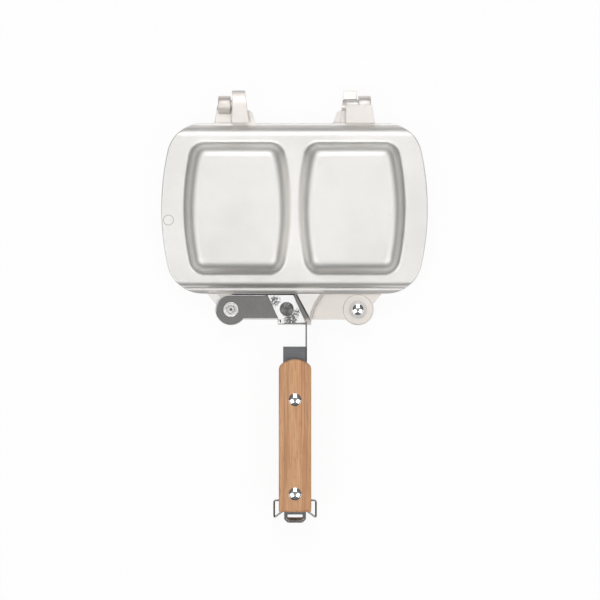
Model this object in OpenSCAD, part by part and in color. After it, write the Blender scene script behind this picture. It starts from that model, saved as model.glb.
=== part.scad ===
// Folding double pie iron: two cast shells hinged at the back, two folding handles at the front.
// Millimetres.  +X right, +Y towards the hinge, +Z up.  Modules are drawn about the centre of the
// shells with the parting plane at z = 0; stand() lifts them onto the lower shell's flat faces.

/* [Shells] */
// Width of a shell across its bowed short sides
shell_w = 224; // [210:1:240]
// Depth of a shell between its straight long edges
shell_d = 143.5; // [138:0.5:150]
// Radius of a shell's corners
corner_r = 30.2; // [24:0.2:36]
// Radius of the bowed short sides
bow_r = 222; // [180:1:400]
// Thickness of the cast walls
wall_t = 2.7; // [2:0.1:3.2]
// Height of the thin edge along the long sides
edge_h = 2.8; // [2.2:0.1:3.4]
// Height of the flat band round the raised squares
band_h = 9; // [8:0.25:9.2]
// Width of the thin edge strip on the hinge side
hinge_strip_w = 2; // [1.5:0.1:3]
// Width of the rounded shoulder on the hinge side
hinge_shoulder_w = 9.5; // [8:0.5:12]
// Width of the thin edge strip and lip on the handle side
grip_strip_w = 5.2; // [4.5:0.1:6.5]
// Width of the sloping lip at the outer edge of that strip
grip_lip_w = 3.1; // [2:0.1:3.5]
// Width of the rounded shoulder on the handle side
grip_shoulder_w = 6; // [5.5:0.25:7]
// Gap between the closed shells
part_gap = 0.3; // [0.2:0.05:0.6]

/* [Raised squares] */
// Width of one raised square at its foot
square_w = 93.2; // [86:0.2:95]
// Depth of one raised square at its foot
square_d = 115; // [108:0.5:117]
// Flat strip between the two squares
square_gap = 3.2; // [2.4:0.2:8]
// Height of a square's flat face above the parting plane
square_h = 21; // [19:0.5:24]
// Corner radius of a square at its foot
square_corner_r = 14.3; // [12:0.1:18]
// Radius of the hollow at the foot of a square's side
foot_r = 4; // [3:0.5:5]
// Radius of the round at the top of a square's side
brow_r = 10.5; // [8.5:0.5:11]
// Slope of a square's side
side_angle = 70; // [62:1:74]

/* [Hinge] */
// Distance from the shells' back edge to the hinge axis
hinge_reach = 15.5; // [14.5:0.5:18]
// Radius of the barrel
barrel_r = 7.6; // [7:0.1:8]
// Radius of the hinge pin
pin_r = 4.2; // [3:0.1:4.4]
// Distance from the middle to the inner end of the barrel
barrel_x = 53.7; // [50:0.1:58]
// Length of the barrel
barrel_l = 10.6; // [8:0.2:14]
// Width of the hook at its tip
hook_w = 10.9; // [8:0.1:12]
// Gap between the hook and the barrel beside it
hook_side_gap = 1.2; // [0.6:0.1:2]
// Height of the flat faces of hook and barrel lug
lug_top = 7.5; // [7:0.1:8]
// Wall of the hook behind the pin
hook_back = 7.3; // [6:0.1:8]
// Play between pin and hook
hook_play = 0.5; // [0.4:0.05:0.8]
// Flare of the hook's inner side at its root
hook_flare = 3.4; // [2:0.2:5]
// Reach of the gusset beside the hook
gusset_reach = 10.7; // [6:0.1:12]
// Width of the gusset at its root
gusset_w = 6.1; // [4:0.1:8]
// Opening angle of the lid
open_angle = 97; // [80:1:100]
// Rounding of the hook's outer corner
hook_round_r = 6; // [4:0.5:7]
// Width of the barrel lug's web beyond the barrel
web_flare = 3.2; // [1:0.1:4]

/* [Handle pivots] */
// Distance of a pivot from the middle
pivot_x = 53.5; // [50:0.5:58]
// Distance of a pivot in front of the shell's edge
pivot_reach = 13.35; // [13.2:0.05:16]
// Radius of the arm's round end
arm_r = 12.6; // [11:0.1:12.8]
// Thickness of the arm
arm_t = 1.6; // [1.2:0.1:2]
// Height of the lug's floor above the parting plane
floor_h = 4.5; // [4:0.1:5]
// Height of the raised land beside the handle
land_h = 7.6; // [6.8:0.1:8]
// Radius of the pivot rivet's shank
pivot_r = 3; // [2.5:0.1:3.5]
// Radius of the knurled disc on the pivot
disc_r = 6.55; // [5:0.05:8]
// Radius of the inner washer of the pivot
washer_r = 7.4; // [6:0.1:9]
// Thickness of the inner washer of the pivot
inner_washer_t = 0.8; // [0.5:0.1:1.2]
// Radius of the spring washer under the arm
arm_washer_r = 9.5; // [8:0.1:11]
// Thickness of the spring washer under the arm
washer_t = 0.4; // [0.3:0.05:0.6]
// Thickness of the knurled disc
disc_t = 1; // [0.8:0.1:1.4]
// Number of knurls round the disc
knurls = 30; // [20:1:36]
// Radius of a knurl
knurl_r = 0.35; // [0.25:0.05:0.45]
// Radius of the pivot rivet's domed head
pivot_head_r = 4.6; // [4:0.1:5.5]
// Height of the pivot rivet's domed head
pivot_head_h = 2.2; // [1.5:0.1:3]
// Depth of the bore in the pivot rivet's open end
pivot_bore = 3; // [1:0.5:5]
// Wall of the pivot rivet's open end
pivot_wall = 1.1; // [0.8:0.1:1.6]
// Running clearance round the pivot rivet
run_fit = 0.05; // [0.02:0.01:0.09]
// Margin of the lug round the arm's end
lug_margin = 0.6; // [0.4:0.1:1.5]
// Width of the lug's root beyond the pivot
lug_side = 19.6; // [16:0.2:24]
// Distance of the lug's lower edge below the pivot
lug_low = 8.4; // [7:0.1:10]
// Sideways place of the lug's tip
tip_x = 14; // [10:0.5:18]
// Distance of the lug's tip in front of the shell's edge
tip_reach = 26.2; // [24:0.1:28]
// Width of the lug's tip
tip_w = 22; // [16:0.5:26]
// Sideways place of the centre of the lug's hollow arc
arc_x = 52.5; // [48:0.5:56]
// Distance of that centre in front of the shell's edge
arc_reach = 27.2; // [25:0.1:30]
// Sideways place of the land's upper corner
land_x = 1.75; // [0:0.25:4]
// Sideways place of the land's lower corner
land_foot_x = 14.5; // [14:0.1:16]
// Distance of the land's lower corner in front of the shell's edge
land_reach = 23.9; // [20:0.1:25]
// Gap between faces that slide past each other
slide_gap = 0.1; // [0.05:0.05:0.2]
// Distance of the arm's upper edge above the pivot
arm_top = 12.1; // [10:0.1:12.6]
// Distance of the arm's lower edge below the pivot
arm_low = 7.1; // [6:0.1:9]
// Gap between the arm's end and the land
arm_gap = 3.55; // [2.5:0.05:5]
// Width of the arm's folded edge
fold_w = 0.9; // [0.6:0.1:1.4]
// Height of the arm's folded edge above the arm
fold_h = 0.7; // [0.4:0.1:1.2]

/* [Stems] */
// Lean of the face plate's sides
stem_lean = 24.4; // [20:0.2:30]
// Width of the face plate
plate_w = 21.6; // [18:0.2:24]
// Distance of the face plate's lower edge in front of the shell's edge
plate_reach = 25.2; // [24:0.1:26]
// Gap between the face plate and the shell's edge
plate_gap = 0.4; // [0.3:0.05:1]
// Overhang of the face plate past the arm's end
plate_lap = 0.4; // [0:0.1:1]
// Width of the folded tab at the face plate's lower corner
tab_w = 2.6; // [2:0.1:4]
// Height of that tab
tab_l = 3.9; // [3:0.1:6]
// Overhang of that tab past the face plate's corner
tab_out = 1.85; // [1:0.05:2.2]
// Radius of the stem rivet's shank
joint_r = 2.5; // [2:0.1:3]
// Radius of the stem rivet's head
joint_head_r = 5.9; // [5:0.1:7]
// Height of the stem rivet's head
joint_head_h = 1.3; // [1:0.1:2]
// Overlap of rib and face plate
rib_lap = 1.6; // [1.2:0.1:3]
// Overlap of rib and grip
rib_under = 2; // [1:0.5:6]
// Gap between the upper rib and the parting plane
rib_low = 0.8; // [0.5:0.1:1.5]
// Gap between the upper rib and the lug's tip
rib_clear = 2.2; // [1.5:0.1:4]
// Length of the upper rib's lower slope
rib_slope = 4; // [2:0.5:8]
// Height of the lower rib above its grip face
rib_h = 3.4; // [2:0.2:5]
// Radius of the ears that carry the wire
ear_r = 2.6; // [2.2:0.1:3]
// Width of the hanging eye's slot
eye_slot_w = 12.6; // [8:0.2:15]
// Length of the hanging eye's slot
eye_slot = 5; // [3:0.25:6]
// Radius of the rolled end of the hanging eye
roll_r = 1.4; // [1.2:0.1:1.6]

/* [Handles] */
// Thickness of the stem's sheet steel
sheet_t = 1.2; // [1:0.1:1.5]
// Width of the tang
tang_w = 20; // [16:0.5:22]
// Height of the tang's inner face above the parting plane
tang_z = 9.4; // [9.3:0.1:11]
// Distance from the shell's edge to the start of the tang
tang_start = 44.6; // [40:0.2:50]
// Distance from the shell's edge to the start of the grip
grip_start = 54.9; // [52:0.1:60]
// Length of the grip
grip_l = 128.2; // [110:0.2:140]
// Width of the grip
grip_w = 27.3; // [24:0.1:30]
// Thickness of the grip
grip_t = 8; // [7:0.5:10]
// Rise of the grip's rounded upper end
grip_crown = 6.8; // [4:0.1:9]
// Sideways place of the handle's middle
handle_x = 0.45; // [0:0.05:1]
// Distance of the first grip rivet from the grip's start
rivet_1 = 34; // [20:0.5:40]
// Distance of the second grip rivet from the grip's end
rivet_2 = 15.3; // [12:0.1:20]
// Radius of the grip rivets' heads
rivet_head_r = 5.3; // [4:0.1:6]
// Height of the grip rivets' heads
rivet_head_h = 2.3; // [1.5:0.1:3]
// Radius of the grip rivets' shanks
shank_r = 2.4; // [2:0.1:3]
// Radius of the grip rivets' flat tails
tail_r = 4.2; // [3.4:0.1:5]
// Height of the grip rivets' flat tails
tail_h = 0.25; // [0.2:0.05:0.35]
// Rounding of the grip's outer edges
grip_round_r = 2.4; // [1:0.2:4]
// Length of the hanging eye past the lower grip
eye_l = 10.5; // [9:0.1:13]

/* [Keeper wire] */
// Diameter of the wire
wire_d = 1.6; // [1.2:0.1:2]
// Distance of the wire's pivot from the grip's end
wire_back = 9.3; // [8.5:0.1:10]
// Height of the wire's pivot above the parting plane
wire_z = 4; // [3:0.25:4.5]
// Distance of the wire's legs from the handle's middle
wire_x = 17.6; // [16:0.1:19]
// Length of the wire's legs
wire_leg = 15.5; // [14:0.1:17]
// Distance of the crossbar from the wire's pivot
wire_bar = 9.6; // [9:0.1:10]
// Droop of the wire at rest
wire_droop = 26; // [20:1:30]
// Distance from a leg's end back to the bend of its slanting part
wire_back_run = 5; // [3:0.5:7]
// Distance of that bend from the handle's middle
wire_in = 10.5; // [9:0.5:12]
// Distance from that bend in to the end of the crossbar
wire_inset = 2.5; // [1:0.5:4]
// Reach of the wire's ends inside the ears
wire_end = 2.4; // [1.5:0.1:4]

/* [Hidden] */
$fn = 64;
right = 90;

eps = 0.01;
seat_fit = 0.02;
spare = 1;
side_steps = 5;
corner_steps = 8;
arc_steps = 4;
corner_keep = 0.7;
cast = "#d9d6d1";
steel = "#8d8d8c";
bright = "#d8dade";
bamboo = "#c69a6c";

half_w = shell_w / 2;
half_d = shell_d / 2;
base_z = part_gap / 2;
square_x = (square_w + square_gap) / 2;
hinge_y = half_d + hinge_reach;
hook_in_r = pin_r + hook_play;
hook_end = hook_in_r + hook_back;
pivot_y = -half_d - pivot_reach;
pivot = [-pivot_x, pivot_y];
arm_z = floor_h + washer_t + slide_gap;
stem_z = arm_z + arm_t;
disc_z = stem_z + slide_gap;
grip_y = -half_d - grip_start;
grip_end_y = grip_y - grip_l;
grip_z = tang_z + sheet_t;
tang_y = -half_d - tang_start;
rivets_y = [grip_y - rivet_1, grip_end_y + rivet_2];
wire_y = grip_end_y + wire_back;
eye_y = grip_end_y - eye_l;
middle_y = (hinge_y + hook_end + eye_y) / 2;

hook_x = barrel_x - hook_side_gap;
barrel_end = barrel_x + barrel_l;
web_x = hook_x - hook_w + 1.6;
lug_root = grip_strip_w + 0.8;
land_lap = 0.4;
tip = [tip_x, -half_d - tip_reach];
arc_c = [arc_x, -half_d - arc_reach];
arm_end = land_x - arm_gap;
plate_top = -half_d - plate_gap;
plate_low = -half_d - plate_reach;
plate_run = (plate_top - plate_low) * tan(stem_lean);
plate_tl = arm_end + plate_lap - plate_w;
joint_at = [plate_tl + (plate_w + plate_run) / 2, (plate_top + plate_low) / 2];
rib_x = handle_x + tang_w / 2 - sheet_t;

// Quarter outline: a bowed side of radius R runs tangentially into a corner of radius r.
// The other quarters mirror it.  a, b are the half width and half depth.
function quarter(a, b, r, R) =
    let (cy = b - r, x0 = a - R, cx = x0 + sqrt(pow(R - r, 2) - cy * cy), t = atan2(cy, cx - x0))
    concat([for (i = [0 : side_steps - 1]) let (q = t * i / side_steps) [x0 + R * cos(q), R * sin(q)]],
        [for (i = [0 : corner_steps]) let (q = t + (right - t) * i / corner_steps)
            [cx + r * cos(q), cy + r * sin(q)]]);
function reversed(p) = [for (i = [len(p) - 1 : -1 : 0]) p[i]];
function outline(a, b, r, R) =
    let (q = quarter(a, b, r, R), n = len(q))
    concat(q, [for (p = reversed(q)) [-p[0], p[1]]],
        [for (i = [1 : n - 1]) [-q[i][0], -q[i][1]]],
        [for (i = [n - 1 : -1 : 1]) [q[i][0], -q[i][1]]]);
function inset(a, b, r, R, d) = outline(a - d, b - d, r - d * corner_keep, R - d);

// Side of a raised square: hollow foot, straight slope, round brow.  shift = 0 gives the outer
// face and shift = wall_t the parallel inner face.  Each entry is [inset, height].
slope_rise = square_h - band_h - (foot_r + brow_r) * (1 - cos(side_angle));
slope_run = slope_rise / tan(side_angle);
side_run = (foot_r + brow_r) * sin(side_angle) + slope_run;
function side_profile(shift) = concat(
    [for (i = [0 : arc_steps]) let (q = side_angle * i / arc_steps)
        [(foot_r + shift) * sin(q), band_h + foot_r - (foot_r + shift) * cos(q)]],
    [for (i = [arc_steps : -1 : 0]) let (q = side_angle * i / arc_steps)
        [side_run - (brow_r - shift) * sin(q), square_h - brow_r + (brow_r - shift) * cos(q)]]);

// Rings of equal count, bottom to top, skinned into a closed solid.
module skin(rings) {
    n = len(rings[0]);
    m = len(rings);
    points = [for (ring = rings) each ring];
    sides = [for (j = [0 : m - 2]) for (i = [0 : n - 1]) let (k = (i + 1) % n)
        each [[j * n + i, (j + 1) * n + i, (j + 1) * n + k], [j * n + i, (j + 1) * n + k, j * n + k]]];
    bottom = [for (i = [0 : n - 1]) i];
    top = [for (i = [n - 1 : -1 : 0]) (m - 1) * n + i];
    polyhedron(points, concat(sides, [bottom, top]));
}

module raised_square(shift, below) {
    profile = concat([[0, side_profile(shift)[0][1] - below]], side_profile(shift));
    skin([for (p = profile)
        [for (q = inset(square_w / 2, square_d / 2, square_corner_r, bow_r, p[0])) [q[0], q[1], p[1]]]]);
}

// Lengthwise profiles of a shell in the Y-Z plane, carried along X.
hinge_foot = half_d - hinge_strip_w;
hinge_flat = hinge_foot - hinge_shoulder_w;
grip_foot = half_d - grip_strip_w;
grip_flat = grip_foot - grip_shoulder_w;
rise = band_h - edge_h;
function shoulder_r(run) = (run * run + rise * rise) / (2 * rise);

module shell_profile(shift) {
    top = band_h - shift;
    translate([-grip_flat, 0]) square([grip_flat + hinge_flat, top]);
    intersection() {
        square([half_d, top]);
        translate([hinge_flat, band_h - shoulder_r(hinge_shoulder_w)])
            circle(r = shoulder_r(hinge_shoulder_w) - shift);
    }
    intersection() {
        translate([-half_d, 0]) square([half_d, top]);
        union() {
            translate([-grip_flat, band_h - shoulder_r(grip_shoulder_w)])
                circle(r = shoulder_r(grip_shoulder_w) - shift);
            translate([-grip_flat - shoulder_r(grip_shoulder_w) + shift, 0])
                square([grip_shoulder_w, band_h - shoulder_r(grip_shoulder_w)]);
        }
    }
}

module edge_profile() {
    lip_h = 1.6;
    polygon([[-half_d, 0], [-half_d, edge_h - lip_h], [-half_d + grip_lip_w, edge_h],
        [half_d, edge_h], [half_d, 0]]);
}

module along_x(l) {
    rotate([right, 0, right]) linear_extrude(height = l, center = true) children();
}

module shell_outer() {
    intersection() {
        translate([0, 0, base_z]) linear_extrude(height = band_h)
            polygon(outline(half_w, half_d, corner_r, bow_r));
        along_x(shell_w + 2 * spare) {
            edge_profile();
            shell_profile(0);
        }
    }
    for (s = [-1, 1]) translate([s * square_x, 0, 0]) raised_square(0, spare);
}

module shell_inner() {
    intersection() {
        translate([0, 0, -spare]) linear_extrude(height = band_h)
            polygon(outline(half_w - wall_t, half_d - wall_t, corner_r - wall_t, bow_r - wall_t));
        union() {
            along_x(shell_w) shell_profile(wall_t);
            translate([0, (hinge_flat - grip_flat) / 2, 0])
                cube([shell_w, hinge_flat + grip_flat, 2 * spare], center = true);
        }
    }
    for (s = [-1, 1]) translate([s * square_x, 0, 0]) raised_square(wall_t, spare);
}

// Front lug that carries a handle: floor over the whole lug, raised land beside the handle and
// a round boss on the inside under the pivot.  The arc at its right clears the other handle.
module lug_outline() {
    side_rise = 4.2;
    step_run = 4;
    difference() {
        union() {
            translate(pivot) circle(r = arm_r + lug_margin);
            polygon([[pivot[0] - lug_side, -half_d + lug_root], [pivot[0] - lug_side, -half_d + land_lap],
                [pivot[0] - arm_r - lug_margin, pivot_y + side_rise], [pivot[0], pivot_y - lug_low],
                [tip[0] - tip_w - step_run, pivot_y - lug_low], [tip[0] - tip_w, tip[1]], tip,
                [arc_c[0], tip[1]], [arc_c[0], -half_d + lug_root]]);
        }
        translate(arc_c) circle(r = norm(arc_c - tip));
    }
}

module land_outline() {
    intersection() {
        lug_outline();
        polygon([[land_x, -half_d + land_lap], [land_foot_x, -half_d - land_reach],
            [land_foot_x, tip[1]], [arc_c[0], tip[1]], [arc_c[0], -half_d + land_lap]]);
    }
}

module front_lug() {
    low = base_z + 0.8;
    difference() {
        union() {
            translate([0, 0, low]) linear_extrude(height = floor_h - low) lug_outline();
            translate([0, 0, low]) linear_extrude(height = land_h - low) land_outline();
            translate([pivot[0], pivot[1], base_z]) cylinder(r = arm_r, h = floor_h - base_z);
        }
        translate([pivot[0], pivot[1], -spare]) cylinder(r = pivot_r + seat_fit, h = floor_h + 2 * spare);
    }
}

// Hook on the left of a shell and barrel lug on its right.
root_y = half_d - 1.5;
root_h = edge_h - base_z - 0.1;
module hook() {
    tip_a = open_angle - right + 1.5;
    tip_drop = 20;
    back = hinge_y + hook_end;
    root_x = -hook_x + hook_w + hook_flare;
    intersection() {
        linear_extrude(height = lug_top)
            polygon([[-hook_x, root_y], [-hook_x, back], [-hook_x + hook_w, back], [root_x, half_d],
                [root_x, root_y]]);
        along_x(shell_w) difference() {
            union() {
                translate([half_d - eps, base_z]) square([back - half_d - hook_round_r, lug_top - base_z]);
                translate([half_d - eps, base_z]) square([back - half_d, lug_top - hook_round_r - base_z]);
                translate([back - hook_round_r, lug_top - hook_round_r]) circle(r = hook_round_r);
                translate([root_y, base_z]) square([half_d - root_y + spare, root_h]);
            }
            translate([hinge_y, 0]) circle(r = hook_in_r);
            translate([hinge_y, -tip_drop]) rotate(tip_a) square([2 * tip_drop, tip_drop / cos(tip_a)]);
            translate([hinge_y - hook_in_r, -hook_end]) square([2 * hook_in_r, hook_end]);
        }
    }
}

module gusset() {
    root_x = -hook_x + hook_w + hook_flare;
    lap = 3.2;
    run = 3.6;
    bevel = 1.8;
    out_x = root_x + gusset_w - 0.6;
    out_y = half_d + gusset_reach;
    translate([0, 0, 2 * base_z]) linear_extrude(height = floor_h - base_z)
        polygon([[root_x - lap, half_d - eps], [root_x - lap, out_y], [out_x - run - spare, out_y],
            [out_x - run + spare / 2, out_y - bevel], [out_x, half_d - eps]]);
    translate([root_x - lap + spare / 2, root_y, base_z]) cube([out_x - root_x + lap - spare / 2, 2, root_h]);
}

module barrel_lug() {
    web_y = hinge_y - 0.4;
    web_out = 0.8;
    root_w = barrel_end + web_flare - web_x;
    difference() {
        union() {
            translate([barrel_x, hinge_y, 0]) rotate([0, right, 0]) cylinder(r = barrel_r, h = barrel_l);
            translate([0, 0, 2 * base_z]) linear_extrude(height = lug_top - 2 * base_z)
                polygon([[web_x, half_d - eps], [web_x, web_y], [barrel_end + web_out, web_y],
                    [barrel_end + web_flare, half_d - eps]]);
            translate([web_x, root_y, base_z]) cube([root_w, 3, root_h]);
        }
        translate([web_x - spare, hinge_y, 0]) rotate([0, right, 0])
            cylinder(r = pin_r + seat_fit, h = root_w + 2 * spare);
        translate([web_x - spare, hinge_y - pin_r - seat_fit, -pin_r])
            cube([barrel_x - web_x + spare, 2 * pin_r, pin_r]);
    }
}

module shell() {
    color(cast) union() {
        difference() {
            union() {
                shell_outer();
                front_lug();
            }
            shell_inner();
        }
        hook();
        gusset();
        barrel_lug();
    }
}

module hinge_pin() {
    end = 0.3;
    color(bright) translate([web_x + end, hinge_y, 0]) rotate([0, right, 0])
        cylinder(r = pin_r, h = barrel_end - web_x - end);
}

// Pivot of a handle: rivet, spring washer under the arm, knurled disc on top, washer inside.
module pivot_rivet() {
    low = base_z - inner_washer_t;
    top = disc_z + disc_t + 0.2;
    color(bright) translate([pivot[0], pivot[1], 0]) difference() {
        union() {
            translate([0, 0, low - eps]) cylinder(r = pivot_r, h = top - low + eps);
            translate([0, 0, low]) rivet_head(pivot_head_r, pivot_head_h, -1);
        }
        translate([0, 0, top - pivot_bore]) cylinder(r = pivot_r - pivot_wall, h = pivot_bore + spare);
    }
}

// Domed head of radius r and height h; way = 1 rises, way = -1 hangs.
module rivet_head(r, h, way) {
    ball = (r * r + h * h) / (2 * h);
    mirror([0, 0, way < 0 ? 1 : 0]) rotate_extrude() intersection() {
        translate([0, h - ball]) circle(r = ball);
        square([r, h]);
    }
}

module ring(r_out, r_in, h) {
    difference() {
        cylinder(r = r_out, h = h);
        translate([0, 0, -spare]) cylinder(r = r_in, h = h + 2 * spare);
    }
}

module arm_washer() {
    color(bright) translate([pivot[0], pivot[1], floor_h]) ring(arm_washer_r, pivot_r + seat_fit, washer_t);
}

module inner_washer() {
    color(bright) translate([pivot[0], pivot[1], base_z - inner_washer_t])
        ring(washer_r, pivot_r + seat_fit, inner_washer_t);
}

// Disc with knurled rim, held by the rivet's open end.
module pivot_disc() {
    knurl_step = 360 / knurls;
    color(bright) translate([pivot[0], pivot[1], disc_z]) difference() {
        ring(disc_r, pivot_r + seat_fit, disc_t);
        for (i = [0 : knurls - 1]) rotate(i * knurl_step) translate([disc_r + slide_gap, 0, -spare])
            cylinder(r = knurl_r, h = disc_t + 2 * spare, $fn = 8);
    }
}

// Arm: flat strip with a round end and a raised, folded upper edge.
module arm() {
    fold_dip = 2;
    fold_end = plate_tl - 1.5;
    hole_h = arm_t + 2 * spare;
    slant = (arm_top + arm_low) * tan(stem_lean);
    color(steel) translate([0, 0, arm_z]) difference() {
        union() {
            linear_extrude(height = arm_t) union() {
                translate(pivot) circle(r = arm_r);
                polygon([[-pivot_x, pivot_y + arm_top], [arm_end, pivot_y + arm_top],
                    [arm_end + slant, pivot_y - arm_low], [-pivot_x, pivot_y - arm_low]]);
            }
            linear_extrude(height = arm_t + fold_h) intersection() {
                difference() {
                    translate(pivot) circle(r = arm_r);
                    translate(pivot) circle(r = arm_r - fold_w);
                }
                translate([pivot[0] - 2 * arm_r, pivot[1] - fold_dip]) square(2 * arm_r);
            }
            translate([-pivot_x, pivot_y + arm_top - fold_w, 0])
                cube([fold_end + pivot_x, fold_w, arm_t + fold_h]);
        }
        translate([pivot[0], pivot[1], -spare]) cylinder(r = pivot_r + run_fit, h = hole_h);
        translate([joint_at[0], joint_at[1], -spare]) cylinder(r = joint_r + seat_fit, h = hole_h);
    }
}

// Stem: slanted face plate on the arm, an upright rib and the flat tang under the grip.
module face_plate() {
    difference() {
        union() {
            translate([0, 0, stem_z]) linear_extrude(height = sheet_t)
                polygon([[plate_tl, plate_top], [plate_tl + plate_w, plate_top],
                    [plate_tl + plate_w + plate_run, plate_low], [plate_tl + plate_run, plate_low]]);
            translate([plate_tl + plate_run - tab_out, plate_low, arm_z])
                cube([tab_w, tab_l, arm_t + sheet_t]);
        }
        translate([joint_at[0], joint_at[1], stem_z - spare])
            cylinder(r = joint_r + seat_fit, h = sheet_t + 2 * spare);
    }
}

module tang(mid_x, reach) {
    translate([mid_x - tang_w / 2, reach, tang_z]) cube([tang_w, tang_y - reach, sheet_t]);
}

// Holes for the grip rivets.
module rivet_holes(mid_x, low, h) {
    for (y = rivets_y) translate([mid_x, y, low - spare])
        cylinder(r = shank_r + seat_fit, h = h + 2 * spare);
}

// Upper stem: rib hangs inwards beside the lug's tip.
module upper_stem_body() {
    under_y = grip_y - rib_under;
    waist_z = (tang_z + rib_low) / 2;
    rib = [[plate_low + rib_lap, stem_z], [plate_low + rib_lap, grip_z], [under_y, grip_z], [under_y, tang_z],
        [tang_y - rib_slope + spare, waist_z], [tang_y + spare, rib_low], [plate_low - rib_clear, rib_low],
        [plate_low - rib_clear, stem_z]];
    color(bright) difference() {
        union() {
            face_plate();
            tang(handle_x, wire_y - ear_r);
            translate([rib_x, 0, 0]) rotate([right, 0, right]) linear_extrude(height = sheet_t) polygon(rib);
            for (s = [-1, 1]) translate([handle_x + s * (tang_w - sheet_t) / 2 - sheet_t / 2, wire_y, 0]) {
                translate([0, 0, wire_z]) rotate([0, right, 0]) cylinder(r = ear_r, h = sheet_t);
                translate([0, -ear_r, wire_z]) cube([sheet_t, 2 * ear_r, tang_z - wire_z + eps]);
            }
        }
        rivet_holes(handle_x, tang_z, sheet_t);
        translate([-tang_w, wire_y, wire_z]) rotate([0, right, 0])
            cylinder(r = wire_d / 2 + run_fit, h = 2 * tang_w);
    }
}

// Lower stem: rib stands outwards behind the upper one, tang runs on into the hanging eye.
module lower_stem_body() {
    slope = 4;
    under_y = grip_y - rib_under;
    neck_y = plate_low - slope;
    rib = [[plate_low + rib_lap, stem_z], [plate_low + rib_lap, grip_z + rib_h],
        [grip_y + rib_under + slope, grip_z + rib_h], [grip_y + rib_under, grip_z], [under_y, grip_z],
        [under_y, tang_z], [neck_y + stem_z - tang_z, tang_z], [neck_y, stem_z]];
    color(bright) difference() {
        union() {
            face_plate();
            tang(-handle_x, eye_y + roll_r);
            translate([-rib_x - sheet_t, 0, 0]) rotate([right, 0, right])
                linear_extrude(height = sheet_t) polygon(rib);
            translate([-handle_x - tang_w / 2, eye_y + roll_r, tang_z + sheet_t / 2]) rotate([0, right, 0])
                cylinder(r = roll_r, h = tang_w);
        }
        rivet_holes(-handle_x, tang_z, sheet_t);
        translate([-handle_x - eye_slot_w / 2, eye_y + 2 * roll_r + part_gap, tang_z - spare])
            cube([eye_slot_w, eye_slot, sheet_t + 2 * spare]);
    }
}

// Cross-recessed rivet that joins arm and stem.
module stem_rivet() {
    head_z = stem_z + sheet_t;
    cross = [5.2, 1, joint_head_h];
    cross_z = 0.7;
    color(steel) translate([joint_at[0], joint_at[1], 0]) difference() {
        union() {
            translate([0, 0, arm_z]) cylinder(r = joint_r, h = head_z - arm_z + eps);
            translate([0, 0, head_z]) rivet_head(joint_head_r, joint_head_h, 1);
        }
        for (s = [-1, 1]) rotate(s * right / 2) translate([-cross[0] / 2, -cross[1] / 2, head_z + cross_z])
            cube(cross);
    }
}

// Bamboo grip: rounded slab with a crowned upper end.
module grip(mid_x) {
    half = grip_w / 2;
    flat = half - grip_round_r;
    crown_r = (half * half + grip_crown * grip_crown) / (2 * grip_crown);
    color(bamboo) difference() {
        intersection() {
            translate([0, 0, grip_z]) linear_extrude(height = grip_t) intersection() {
                translate([mid_x - half, grip_end_y]) square([grip_w, grip_l]);
                union() {
                    translate([mid_x, grip_y - crown_r]) circle(r = crown_r);
                    translate([mid_x - half, grip_end_y - spare])
                        square([grip_w, grip_l - grip_crown + spare]);
                }
            }
            translate([mid_x, grip_y + spare, grip_z]) rotate([right, 0, 0])
                linear_extrude(height = grip_l + 2 * spare) union() {
                    translate([-flat, 0]) square([2 * flat, grip_t]);
                    translate([-half, 0]) square([grip_w, grip_t - grip_round_r]);
                    for (s = [-1, 1]) translate([s * flat, grip_t - grip_round_r]) circle(r = grip_round_r);
                }
        }
        rivet_holes(mid_x, grip_z, grip_t);
    }
}

module grip_rivets(mid_x) {
    color(bright) for (y = rivets_y) translate([mid_x, y, 0]) {
        translate([0, 0, tang_z - eps]) cylinder(r = shank_r, h = grip_t + sheet_t + 2 * eps);
        translate([0, 0, grip_z + grip_t]) rivet_head(rivet_head_r, rivet_head_h, 1);
        translate([0, 0, tang_z - tail_h]) cylinder(r = tail_r, h = tail_h);
    }
}

// Keeper wire: legs out of the ears, down, slanting back in to a crossbar.
wire_bend = wire_leg - wire_back_run;
knot = 0.06;
function on_wire(x, s) = [handle_x + x, wire_y - s * cos(wire_droop), wire_z - s * sin(wire_droop)];
wire_half = [on_wire(tang_w / 2 - wire_end, 0), on_wire(wire_x, 0), on_wire(wire_x, wire_leg),
    on_wire(wire_in, wire_bend), on_wire(wire_in - wire_inset, wire_bar)];
function flip_x(p) = [2 * handle_x - p[0], p[1], p[2]];

module rod(a, b) {
    d = b - a;
    l = norm(d);
    translate(a) rotate([0, acos(d[2] / l), atan2(d[1], d[0])]) cylinder(r = wire_d / 2, h = l);
}

module wire() {
    path = concat(wire_half, reversed([for (p = wire_half) flip_x(p)]));
    color(bright) union() {
        for (i = [0 : len(path) - 2]) rod(path[i], path[i + 1]);
        for (i = [1 : len(path) - 2]) translate(path[i]) sphere(r = wire_d / 2 + knot);
    }
}

// The lower half is the upper one turned half round about the Y axis.
module turned() {
    rotate([0, 2 * right, 0]) children();
}

module stand() {
    translate([0, -middle_y, square_h]) children();
}

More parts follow.
